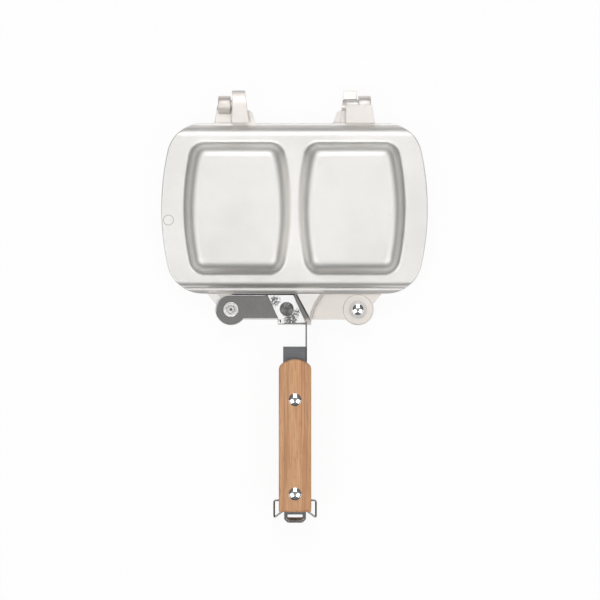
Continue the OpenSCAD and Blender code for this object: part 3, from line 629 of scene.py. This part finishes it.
def dome(radius, height, z, way=1, foot=0.0, steps=14):
    # Profile of a domed head from its rim to near its middle, on a straight rim foot high: the
    # dome is a cap of a ball, and height is that of the whole head.
    height -= foot
    ball = (radius ** 2 + height ** 2) / (2 * height)
    end = math.asin(radius / ball)
    t = np.linspace(end * 0.97, 0.03, steps)
    drop = ball - height
    points = [(radius, z), (radius, z + way * (foot + (ball * np.cos(t[0]) - drop) * 0.6))]
    return points + [(ball * math.sin(a), z + way * (foot + ball * math.cos(a) - drop)) for a in t]


pivotSizes = {
    "shank": 3.0, "bore": 1.9, "boreDepth": 3.0, "headRadius": 4.6, "headHeight": 2.2, "headFoot": 0.9,
    "innerWasher": 7.4, "innerThick": 0.8, "armWasher": 9.5, "washerThick": 0.4, "washerGap": 0.02,
    "slide": 0.1, "arm": 1.6, "disc": 6.55, "discThick": 1.0, "knurls": 30, "knurlDepth": 0.035,
    "plugHeight": 2.2, "plugFoot": 1.2, "plugGap": 0.05, "collarDrop": 0.4, "collarThick": 0.46,
    "rivetLip": 0.25,
}
ps = pivotSizes
armZ = lug["floor"] + ps["washerThick"] + ps["slide"]
stemZ = armZ + ps["arm"]
discZ = stemZ + ps["slide"]
rivetTop = discZ + ps["discThick"] + 0.2


def washer(name, outer, inner, z, thick, lower):
    # A flat ring with softened rims: the profile goes round its section and closes on itself.
    c = min(0.12, thick / 3)
    p = [(inner, z + c), (inner + c, z), (outer - c, z), (outer, z + c), (outer, z + thick - c),
         (outer - c, z + thick), (inner + c, z + thick), (inner, z + thick - c)]
    return softEdges(lathe(name, p, (*pivot, 0), lower, ends="loop"), 0.03, segments=1)


for half, lower in halves:
    shellBody = half + "_half"
    pinX = webX + hinge["pinInset"]
    profile = roundBar(hinge["pin"], barrelEnd - pinX, 0.6, 0.15, 0.6)
    pin = lathe(half + "HingePin", profile, (pinX, hingeY, 0), lower, axis="x")
    steelPiece(pin, shellBody, "cast_aluminium", castPlain, half + "_hinge_pin")
    low = baseZ - ps["innerThick"]
    head = dome(ps["headRadius"], ps["headHeight"], low, -1, foot=ps["headFoot"])[::-1]
    plugZ, lip = rivetTop - ps["boreDepth"], ps["rivetLip"]
    stem = [(ps["shank"], low), (ps["shank"], rivetTop - lip), (ps["shank"] - lip, rivetTop),
            (ps["bore"] + lip, rivetTop), (ps["bore"], rivetTop - 0.3), (ps["bore"], plugZ),
            (0.3, plugZ - 0.2)]
    rivet = lathe(half + "PivotRivet", head + stem, (*pivot, 0), lower)
    steelPiece(softEdges(rivet, 0.05, angle=50), shellBody, "polished_steel", rivetChrome,
               half + "_pivot_rivet")
    # A near-black domed plug in the rivet's bore paints the shade of the hollow.
    r = ps["bore"] - ps["plugGap"]
    plug = lathe(half + "PivotPlug", [(r, plugZ)] + dome(r, ps["plugHeight"], plugZ, foot=ps["plugFoot"]),
                 (*pivot, 0), lower)
    steelPiece(plug, shellBody, "satin_steel", paintedShadeSteel)
    hole = ps["shank"] + ps["washerGap"]
    inner = washer(half + "InnerWasher", ps["innerWasher"], hole, low, ps["innerThick"], lower)
    steelPiece(inner, shellBody, "satin_steel", washerSteel, half + "_inner_washer")
    spring = washer(half + "ArmWasher", ps["armWasher"], hole, lug["floor"], ps["washerThick"], lower)
    steelPiece(spring, shellBody, "satin_steel", discSteel, half + "_arm_washer")
    d, z = ps["disc"], discZ
    knurl = lambda t: 1 - ps["knurlDepth"] * (0.5 - 0.5 * np.cos(ps["knurls"] * t)) ** 2
    # Knurled side, a shallow ring groove in the face, and a cup about the rivet.
    rim = [(d - 0.15, z), (d, z + 0.15), (d, z + 0.75), (d - 0.25, z + 1.0), (d - 0.9, z + 1.0),
           (d - 1.0, z + 0.92), (d - 1.7, z + 0.92), (d - 1.8, z + 1.0), (3.75, z + 1.0), (3.55, z + 0.85),
           (3.5, z + 0.15), (0.3, z + 0.1)]
    disc = lathe(half + "PivotDisc", rim, (*pivot, 0), lower, steps=360, wave=knurl)
    steelPiece(disc, shellBody, "satin_steel", discSteel, half + "_pivot_disc")
    collar = washer(half + "PivotCollar", ps["shank"] + ps["plugGap"], ps["bore"],
                    rivetTop - ps["collarDrop"], ps["collarThick"], lower)
    steelPiece(collar, shellBody, "satin_steel", discSteel)
print("pins and rivets made")

# Handles: blasted arm, polished face plate, rib and tang, bamboo grip.
handle = {
    "armTop": 12.1, "armLow": 7.1, "lean": 24.4, "armGap": 3.55, "armPast": 3.3, "armRun": 10.3,
    "foldWidth": 0.9, "foldHeight": 0.7, "foldEnd": 1.5, "shadeStripGap": 0.1, "shadeStripDrop": 0.3,
    "shadeStripRise": 0.5, "plateWidth": 21.6, "plateReach": 25.2, "plateGap": 0.4, "plateLap": 0.4,
    "plateTrim": 0.8, "sheet": 1.2, "edgeShadeFrom": 2.6, "edgeShadeEnd": 0.5, "edgeShadeDepth": 0.8, "edgeShadeRise": 0.12,
    "edgeShadeBevel": 0.4, "tabWidth": 2.6, "tabLength": 3.9, "tabOut": 1.85, "jointHead": 5.9,
    "jointHeight": 1.3, "jointShank": 2.5, "middleX": 0.45, "tangWidth": 20.0, "tangZ": 9.4,
    "tangStart": 44.6, "gripStart": 54.9, "gripLength": 128.2, "gripWidth": 27.3, "gripThick": 8.0,
    "crown": 6.8, "edgeRound": 2.4, "footRound": 1.2, "shoulder": 1.4, "shoulderAngle": 3.0,
    "faceCrown": 0.144, "faceReach": 8.0,
    "rivetFirst": 34.0, "rivetLast": 15.3, "rivetRadius": 5.3, "rivetHeight": 2.3, "rivetFoot": 0.75,
    "rivetShank": 2.4, "tailRadius": 4.2, "tailHeight": 0.25,
    "eye": 10.5, "eyeWidth": 18.4, "eyeCut": 2.6, "eyeBack": 0.5, "slotFrom": 2.1, "slotWidth": 12.6,
    "slotLength": 5.0, "slotCut": 1.0, "roll": 1.4, "rollShort": 5.4, "rollGap": 0.05,
    "bandHalf": 8.2, "bandFrom": 1.9, "bandBow": 2.6, "bandLean": 2.9, "bandRim": 3.5, "bandThick": 0.9,
    "bandFlare": 0.22, "ear": 2.6, "wireFrom": 9.3, "wireHeight": 4.0,
    "ribLap": 1.6, "ribUnder": 2.0, "ribLow": 0.8, "ribClear": 2.2, "ribSlope": 4.0, "ribRise": 3.4,
}
hs = handle
lean = math.tan(math.radians(hs["lean"]))
armEnd = lug["landX"] - hs["armGap"]
plateTop, plateLow = front - hs["plateGap"], front - hs["plateReach"]
plateRun = (plateTop - plateLow) * lean
plateLeft = armEnd + hs["plateLap"] - hs["plateWidth"]
jointX, jointY = plateLeft + (hs["plateWidth"] + plateRun) / 2, (plateTop + plateLow) / 2
gripY = front - hs["gripStart"]
gripEndY = gripY - hs["gripLength"]
gripZ = hs["tangZ"] + hs["sheet"]
tangY = front - hs["tangStart"]
wireY, wireZ = gripEndY + hs["wireFrom"], hs["wireHeight"]
eyeY = gripEndY - hs["eye"]

armSteel = steelFinish("armSteel", finishes["arm"], 0.46, metallic=0.75)
tangSteel = steelFinish("tangSteel", finishes["tang"], 0.33, brushed=0.5, metallic=0.9)


def plateFinish(name, places):
    # Polished steel with dark reflections painted as patches about some places on its face, broken up by
    # fine noise.
    look = Finish(name, finishes["plate"], 1.0, 0.42)
    paintedReflection = look.noise(620.0, 4.0, 0.65)
    smudge = look.noise(60.0, 4.0, 0.6)
    near = most([1.0 - look.ramp(look.gap(x, y), radius * 0.35, radius) for x, y, radius in places])
    # Where a patch lies, a dark reflection is painted into the base colour.
    patch = look.ramp(paintedReflection + near * 0.12, 0.53, 0.60) * near
    look.set(Roughness=0.40 + smudge * 0.08 + patch * 0.1)
    look.dress(look.mix(patch * 0.85, finishes["plate"], finishes["paintedReflection"]), smudge, 0.08, 0.00005)
    return look


wireSteel = steelFinish("wireSteel", (0.36, 0.355, 0.35), 0.20, wear=0.1)


def bambooFinish(name, middleX, way):
    # Laminated bamboo: strips side by side along the grip, each with its own tone, coarse and fine
    # fibres as long streaks, rusty patches, and pores as short dark lines.
    pale, deep, rust = finishes["bambooPale"], finishes["bambooDark"], finishes["bambooRust"]
    look = Finish(name, pale, 0.0, 0.42, Coat_Weight=0.12, Coat_Roughness=0.25)
    fibre = look.noise(1.0, 4.0, 0.65, stretch=(0.0013, 0.075, 0.0018))
    fine = look.noise(1.0, 3.0, 0.6, stretch=(0.00055, 0.035, 0.0009))
    pore = look.noise(1.0, 2.0, 0.5, stretch=(0.0005, 0.010, 0.0008))
    slow = look.noise(1.0, 3.0, 0.5, stretch=(0.004, 0.09, 0.008))
    patch = look.noise(1.0, 3.0, 0.6, stretch=(0.0030, 0.045, 0.006))
    across = look.node("SeparateXYZ", {}, {"Vector": look.place}, out="X") - middleX
    strips = across * finishes["bambooStrips"] + slow * 0.12
    tone = look.node("TexWhiteNoise", {"noise_dimensions": "1D"},
                     {"W": look.node("Math", {"operation": "FLOOR"}, {0: strips}) + 3.0 * way}, out="Value")
    seam = abs(look.node("Math", {"operation": "FRACT"}, {0: strips}) - 0.5)
    wood = look.mix(look.ramp(fibre * 0.6 + slow * 0.4, 0.40, 0.60), deep, pale)
    wood = look.mix(tone * 0.45, wood, tuple(v * w for v, w in zip(pale, (1.10, 1.16, 1.12))))
    layers = ((patch, 0.52, 0.68, 0.45, rust), (fine, 0.46, 0.66, 0.45, toned(deep, 0.82)),
              (pore, 0.60, 0.74, 0.6, toned(deep, 0.5)), (seam, 0.475, 0.5, 0.35, toned(deep, 0.6)))
    for value, low, high, share, color in layers:
        wood = look.mix(look.ramp(value, low, high) * share, wood, color)
    look.set(Roughness=0.38 + fibre * 0.14)
    look.dress(wood, fine * 0.5 - look.ramp(pore, 0.58, 0.74), 0.35, 0.0002)
    return look


def armOutline():
    # Round end about the pivot and the strip with its slanted end, which shows past the plate.
    r = lug["armRadius"]
    top, low = pivot[1] + hs["armTop"], pivot[1] - hs["armLow"]
    start = math.degrees(math.asin((top - pivot[1]) / r))
    end = 360 - math.degrees(math.asin((pivot[1] - low) / r))
    tip = armEnd + hs["armPast"]
    return np.vstack([arc(pivot, r, start, end, 90), [[tip + hs["armRun"], low], [tip, top]]])


def foldOutline():
    # The arm's folded edge: a strip that follows the round end and the straight upper edge.
    r, w = lug["armRadius"], hs["foldWidth"]
    top = pivot[1] + hs["armTop"]
    outer = arc(pivot, r, 189, 90 + math.degrees(math.acos(hs["armTop"] / r)), 40)
    inner = arc(pivot, r - w, 189, 90 + math.degrees(math.acos(min((hs["armTop"] - w) / (r - w), 1.0))), 40)
    end = plateLeft - hs["foldEnd"]
    return np.vstack([outer, [[end, top], [end, top - w]], inner[::-1]])


def gripRing(z, inset, middleX):
    # Outline of the grip drawn in by inset: straight sides, square end, crowned end, soft corners.
    half = hs["gripWidth"] / 2
    crown = (half ** 2 + hs["crown"] ** 2) / (2 * hs["crown"])
    centre = gripY - crown
    r, w = crown - inset, half - inset
    reach = math.degrees(math.asin(w / r)) - hs["shoulderAngle"]
    top = arc((0, centre), r, 90 - reach, 90 + reach, 41)
    soft = hs["footRound"]
    shoulderY = centre + math.sqrt(r ** 2 - w ** 2) - hs["shoulder"]
    side = np.linspace(gripEndY + soft + inset, shoulderY, 40)
    right = np.column_stack([np.full(40, w), side])
    left = np.column_stack([np.full(40, -w), side[::-1]])
    foot = gripEndY + inset
    low = np.vstack([arc((-w + soft, foot + soft), soft, 180, 270, 7),
                     arc((w - soft, foot + soft), soft, 270, 360, 7)])
    ring = np.vstack([right, top, left, low])
    return np.column_stack([ring[:, 0] + middleX, ring[:, 1], np.full(len(ring), z)])


def gripSlab(name, middleX, lower):
    # Rings from the inner face outwards: the outer edge is a quarter round, and the face is
    # crowned by a few tenths of a millimetre.
    z0, z1, r = gripZ, gripZ + hs["gripThick"], hs["edgeRound"]
    steps = [(0.5, z0), (0.12, z0 + 0.12), (0.0, z0 + 0.5), (0.0, z0 + 2.5), (0.0, z1 - r)]
    for a in np.radians(np.linspace(9, 90, 10)):
        steps.append((r * (1 - math.cos(a)), z1 - r + r * math.sin(a) * 0.94))
    for d in (1.2, 2.6, 4.4, 6.4, 8.0):
        steps.append((r + d, z1 - hs["faceCrown"] * (1 - d / hs["faceReach"]) ** 2))
    rings = [gripRing(z, inset, middleX) for inset, z in steps]
    return meshPiece(name, *ringStack(rings, "face"), lower)


def slottedEnd(name, middleX, low, high, cut, lower):
    # A strap between two heights along Y with the part of the slot that lies between them: eight
    # points round its outline and eight round the slot, both with cut corners.
    w, sw = hs["eyeWidth"] / 2, hs["slotWidth"] / 2
    s0, s1 = eyeY + hs["slotFrom"], eyeY + hs["slotFrom"] + hs["slotLength"]

    def loop(a, low, high, cut):
        return [(-a, low + cut), (-a + cut, low), (a - cut, low), (a, low + cut),
                (a, high - 0.2), (a - 0.2, high), (-a + 0.2, high), (-a, high - 0.2)]
    outer, inner = np.array(loop(w, low, high, cut)), np.array(loop(sw, s0, s1, hs["slotCut"]))
    section = ((outer, hs["tangZ"]), (outer, gripZ), (inner, gripZ), (inner, hs["tangZ"]))
    rings = [np.column_stack([p[:, 0] + middleX, p[:, 1], np.full(8, z)]) for p, z in section]
    return softEdges(meshPiece(name, *ringStack(rings, "loop"), lower), 0.25)


def catchBand(name, middleX, lower):
    # The eye's front wall, a flared band: across it u runs from -1 to 1 and v from its free rim to
    # the strap.  y bows outwards as a circle does, and v leans it in towards the slot.
    u, v = np.meshgrid(np.linspace(-1, 1, 49), np.linspace(0, 1, 17), indexing="ij")
    bow = 1 - np.sqrt(1 - (0.97 * u) ** 2)
    x = middleX + hs["bandHalf"] * u * (1 - hs["bandFlare"] * v)
    y = eyeY + hs["bandFrom"] + hs["bandBow"] * bow + hs["bandLean"] * v * np.sqrt(1 - (0.9 * u) ** 2)
    z = hs["bandRim"] + (gripZ - 0.1 - hs["bandRim"]) * v ** 0.8
    inside = np.stack([x, y, z], axis=-1)
    outside = inside - [0.0, hs["bandThick"], 0.0]
    return softEdges(twoSkins(name, outside, inside, lower), 0.15)


for half, lower in halves:
    body = half + "_handle"
    side = -1 if lower else 1
    # Places on the face plate where dark reflections are painted.
    reflectionPlaces = [(plateLeft + 6.5, plateTop - 5.5, 6.5), (jointX + 3.5, plateLow + 4.5, 9.0),
             (jointX + 8.5, jointY - 3.0, 4.5)]
    spots = [(side * toMetres(x, y)[0], toMetres(x, y)[1], r / 1000) for x, y, r in reflectionPlaces]
    plateSteel = plateFinish(half + "PlateSteel", spots)
    arm = prism(half + "Arm", armOutline(), armZ, stemZ, lower, edge=0.3)
    steelPiece(arm, body, "satin_steel", armSteel, half + "_arm")
    # A thin near-black strip between the shell's edge and the arm paints the shade in the gap there.
    y0, y1 = pivot[1] + hs["armTop"] + 0.02, front - hs["shadeStripGap"]
    x0, x1 = pivot[0] + 1.0, armEnd + hs["armPast"]
    gapShade = prism(half + "ArmGapShade", [(x0, y0), (x1 - 0.4, y0), (x1 - 1.0, y1), (x0, y1)],
                   armZ - hs["shadeStripDrop"], armZ + hs["shadeStripRise"], lower, edge=0.15)
    steelPiece(gapShade, body, "satin_steel", paintedShadeSteel)
    # The raised fold is real; its lighter steel paints the highlight along the bend.
    fold = prism(half + "ArmFold", foldOutline(), armZ + 0.2, stemZ + hs["foldHeight"], lower, edge=0.3)
    steelPiece(fold, body, "satin_steel", foldHighlightSteel)
    plateZ = stemZ + hs["sheet"]
    highY, highX = plateTop - hs["plateTrim"], plateLeft + hs["plateTrim"] * lean
    lowX, lowRight = plateLeft + plateRun, plateLeft + plateRun + hs["plateWidth"]
    plate = [(highX, highY), (lowX, plateLow), (lowRight, plateLow), (highX + hs["plateWidth"], highY)]
    face = prism(half + "FacePlate", plate, stemZ, plateZ, lower, edge=0.28)
    steelPiece(face, body, "polished_steel", plateSteel, half + "_stem")
    # A near-black strip along the face plate's lower edge paints a dark edge line, the reflection of a
    # bent-down edge.
    x0, x1, c = lowX + hs["edgeShadeFrom"], lowRight - hs["edgeShadeEnd"], hs["edgeShadeBevel"]
    y0, y1 = plateLow + 0.05, plateLow + hs["edgeShadeDepth"]
    lip = prism(half + "PlateEdgeShade", [(x0, y0), (x1, y0), (x1 - c, y1), (x0 + c, y1)], stemZ + 0.1,
                plateZ + hs["edgeShadeRise"], lower, edge=0.1)
    steelPiece(lip, body, "satin_steel", paintedShadeSteel)
    x0, y1 = lowX - hs["tabOut"], plateLow + hs["tabLength"]
    x1 = x0 + hs["tabWidth"]
    tab = prism(half + "Tab", [(x0, plateLow), (x1, plateLow), (x1, y1), (x0, y1)], armZ, plateZ, lower)
    steelPiece(tab, body, "polished_steel", plateSteel)
    head = dome(hs["jointHead"], hs["jointHeight"], plateZ)
    shank = [(hs["jointShank"], armZ), (hs["jointShank"], plateZ)]
    joint = lathe(half + "StemRivet", shank + head, (jointX, jointY, 0), lower)
    steelPiece(softEdges(joint, 0.1), body, "satin_steel", jointSteel, half + "_stem_rivet")

    middle = -hs["middleX"] if lower else hs["middleX"]
    underY = gripY - hs["ribUnder"]
    if lower:
        ribX, slope = -hs["middleX"] - hs["tangWidth"] / 2, hs["ribSlope"]
        neckY = plateLow - slope
        topZ = gripZ + hs["ribRise"]
        rib = [(neckY, stemZ), (neckY + stemZ - hs["tangZ"], hs["tangZ"]), (underY, hs["tangZ"]),
               (underY, gripZ), (gripY + hs["ribUnder"], gripZ), (gripY + hs["ribUnder"] + slope, topZ),
               (plateLow + hs["ribLap"], topZ), (plateLow + hs["ribLap"], stemZ)]
    else:
        ribX = hs["middleX"] + hs["tangWidth"] / 2 - hs["sheet"]
        waist = (hs["tangZ"] + hs["ribLow"]) / 2
        rib = [(plateLow + hs["ribLap"], stemZ), (plateLow + hs["ribLap"], gripZ), (underY, gripZ),
               (underY, hs["tangZ"]), (tangY - hs["ribSlope"] + 1, waist), (tangY + 1, hs["ribLow"]),
               (plateLow - hs["ribClear"], hs["ribLow"]), (plateLow - hs["ribClear"], stemZ)]
    ribPiece = prism(half + "Rib", rib, ribX, ribX + hs["sheet"], lower, axis="x", edge=0.25)
    steelPiece(ribPiece, body, "satin_steel", tangSteel)
    end = wireY if lower else wireY - hs["ear"]
    w = hs["tangWidth"] / 2
    strap = [(middle - w, end), (middle + w, end), (middle + w, tangY), (middle - w, tangY)]
    tang = prism(half + "Tang", strap, hs["tangZ"], gripZ, lower, edge=0.25)
    steelPiece(tang, body, "satin_steel", tangSteel)
    if lower:
        eye = slottedEnd(half + "Eye", middle, eyeY + hs["eyeBack"], wireY, hs["eyeCut"], lower)
        steelPiece(eye, body, "satin_steel", tangSteel)
        band = catchBand(half + "EyeBand", middle, lower)
        steelPiece(band, body, "polished_steel", wireSteel)
        length = hs["eyeWidth"] - hs["rollShort"]
        place = (middle - length / 2, eyeY + hs["roll"] + hs["rollGap"], hs["tangZ"] + hs["sheet"] / 2)
        bar = roundBar(hs["roll"], length, 0.7, 0.2, 0.8)
        roll = lathe(half + "EyeRoll", bar, place, lower, axis="x", steps=32)
        steelPiece(roll, body, "polished_steel", wireSteel)
    else:
        ear = np.vstack([arc((wireY, wireZ), hs["ear"], 180, 360, 24),
                         [[wireY + hs["ear"], hs["tangZ"] + 0.3], [wireY - hs["ear"], hs["tangZ"] + 0.3]]])
        for side in (-1, 1):
            x = middle + side * (w - hs["sheet"] / 2)
            name = half + ("EarLeft" if side < 0 else "EarRight")
            plate = prism(name, ear, x - hs["sheet"] / 2, x + hs["sheet"] / 2, lower, axis="x", edge=0.25)
            steelPiece(plate, body, "satin_steel", tangSteel)
    bamboo = bambooFinish(half + "Bamboo", (-1 if lower else 1) * middle / 1000, -1 if lower else 1)
    steelPiece(gripSlab(half + "Grip", middle, lower), body, "bamboo", bamboo, half + "_grip")
    for count, y in enumerate((gripY - hs["rivetFirst"], gripEndY + hs["rivetLast"])):
        z, tail, under = gripZ + hs["gripThick"], hs["tailRadius"], hs["tangZ"]
        stem = [(tail - 0.1, under - hs["tailHeight"]), (tail, under - 0.1), (tail, under),
                (hs["rivetShank"], under + 0.01), (hs["rivetShank"], z)]
        head = dome(hs["rivetRadius"], hs["rivetHeight"], z, foot=hs["rivetFoot"])
        stud = lathe(half + "GripRivet" + str(count + 1), stem + head, (middle, y, 0), lower)
        steelPiece(stud, body, "polished_steel", rivetChrome,
                   *([half + "_grip_rivets"] if count == 0 else []))
print("handles made")

# Keeper wire at the end of the upper handle.
wire = {"diameter": 1.6, "ear": 7.6, "leg": 17.6, "length": 16.5, "bend": 10.5, "in": 10.5, "inset": 2.5,
        "bar": 9.6, "droop": 26.0, "bendRadius": 2.0}


def roundedPath(corners, radius, steps=10):
    # Straight runs joined by smooth bends: each corner is a curve from radius before it to after.
    corners = np.asarray(corners, float)
    path = [corners[0]]
    for before, at, after in zip(corners[:-2], corners[1:-1], corners[2:]):
        a, b = before - at, after - at
        cut = min(radius, np.linalg.norm(a) * 0.45, np.linalg.norm(b) * 0.45)
        start, end = at + a / np.linalg.norm(a) * cut, at + b / np.linalg.norm(b) * cut
        t = np.linspace(0, 1, steps)[:, None]
        path.extend((1 - t) ** 2 * start + 2 * t * (1 - t) * at + t ** 2 * end)
    return np.array(path + [corners[-1]])


droop = math.radians(wire["droop"])
reach = [(wire["ear"], 0), (wire["leg"], 0), (wire["leg"], wire["length"]), (wire["in"], wire["bend"]),
         (wire["in"] - wire["inset"], wire["bar"])]
points = [(hs["middleX"] + x, wireY - s * math.cos(droop), wireZ - s * math.sin(droop)) for x, s in reach]
points += [(2 * hs["middleX"] - x, y, z) for x, y, z in points[::-1]]
keeper = tube("keeperWire", roundedPath(points, wire["bendRadius"]), wire["diameter"] / 2)
steelPiece(keeper, "keeper", "polished_steel", wireSteel, "keeper_wire")
print("keeper wire made")

# Floor, sky, lights and camera.
studio = {
    "floorGray": 0.95, "floorGlow": 0.93, "floorSize": 60.0, "floorZ": -0.0002,
    "skyColor": (1.0, 0.995, 0.985), "skyHorizon": 0.02, "skyTop": 0.30, "skyCurve": 2.0,
    "panels": {"backPanel": (90, 34, 14.4), "leftPanel": (210, 34, 11.7), "rightPanel": (330, 34, 11.7)},
    "panelSize": 1.15, "panelDistance": 2.0,
    "cameraX": 0.00462, "cameraY": 0.00595, "cameraHeight": 3.4, "fieldWidth": 0.504, "focusHeight": 0.030,
}
corners = np.array([[-1, -1], [1, -1], [1, 1], [-1, 1]]) * studio["floorSize"] / 2
floorMesh = bpy.data.meshes.new("floor")
floorMesh.from_pydata([(x, y, studio["floorZ"]) for x, y in corners], [], [(0, 1, 2, 3)])
floor = bpy.data.objects.new("floor", floorMesh)
bpy.context.scene.collection.objects.link(floor)

# White paper: camera, glossy and transmission rays see a white sheet with strength 1, and the
# share that is left, 1 - floorGlow, keeps the shadow.
paper = Finish("paper", (studio["floorGray"],) * 3, 0.0, 0.9)
rays = [paper.node("LightPath", {}, {}, out="Is %s Ray" % kind)
        for kind in ("Camera", "Glossy", "Transmission")]
glow = paper.node("Emission", {}, {"Strength": 1.0})
seen = most(rays) * studio["floorGlow"]
sheet = paper.node("MixShader", {}, {0: seen, 1: Socket(paper, paper.shader.outputs[0]), 2: glow})
paper.feed(paper.tree.nodes["Material Output"].inputs["Surface"], sheet)
paper.onto(floor)

# One plain sky for every ray, dim at the horizon and bright overhead: its strength is
# skyHorizon + skyTop * abs(z) ** skyCurve along the ray.
world = bpy.data.worlds.new("studio")
world.use_nodes = True
bpy.context.scene.world = world
sky = Nodes(world.node_tree)
way = sky.node("TexCoord", {}, {}, out="Generated")
height = sky.node("SeparateXYZ", {}, {"Vector": way}, out="Z")
background = sky.tree.nodes["Background"]
background.inputs["Color"].default_value = (*studio["skyColor"], 1.0)
strength = abs(height) ** studio["skyCurve"] * studio["skyTop"] + studio["skyHorizon"]
sky.feed(background.inputs["Strength"], strength)


def softPanel(name, azimuth, tilt, power):
    # A square light aimed at the origin: azimuth is round Z from +X, tilt is down from overhead.
    a, t = math.radians(azimuth), math.radians(tilt)
    way = Vector((math.sin(t) * math.cos(a), math.sin(t) * math.sin(a), math.cos(t)))
    lamp = bpy.data.lights.new(name, "AREA")
    lamp.shape, lamp.size, lamp.energy = "SQUARE", studio["panelSize"], power
    light = bpy.data.objects.new(name, lamp)
    light.location = way * studio["panelDistance"]
    light.rotation_euler = (-way).to_track_quat("-Z", "Y").to_euler()
    bpy.context.scene.collection.objects.link(light)


for name, (azimuth, tilt, power) in studio["panels"].items():
    softPanel(name, azimuth, tilt, power)

view = bpy.data.cameras.new("photoView")
view.sensor_width = 36.0
distance = studio["cameraHeight"] - studio["focusHeight"]
view.lens = view.sensor_width * distance / studio["fieldWidth"]
camera = bpy.data.objects.new("photoView", view)
camera.location = (studio["cameraX"], studio["cameraY"], studio["cameraHeight"])
bpy.context.scene.collection.objects.link(camera)
bpy.context.scene.camera = camera
bpy.context.scene.view_settings.view_transform = "Standard"
print("studio ready")
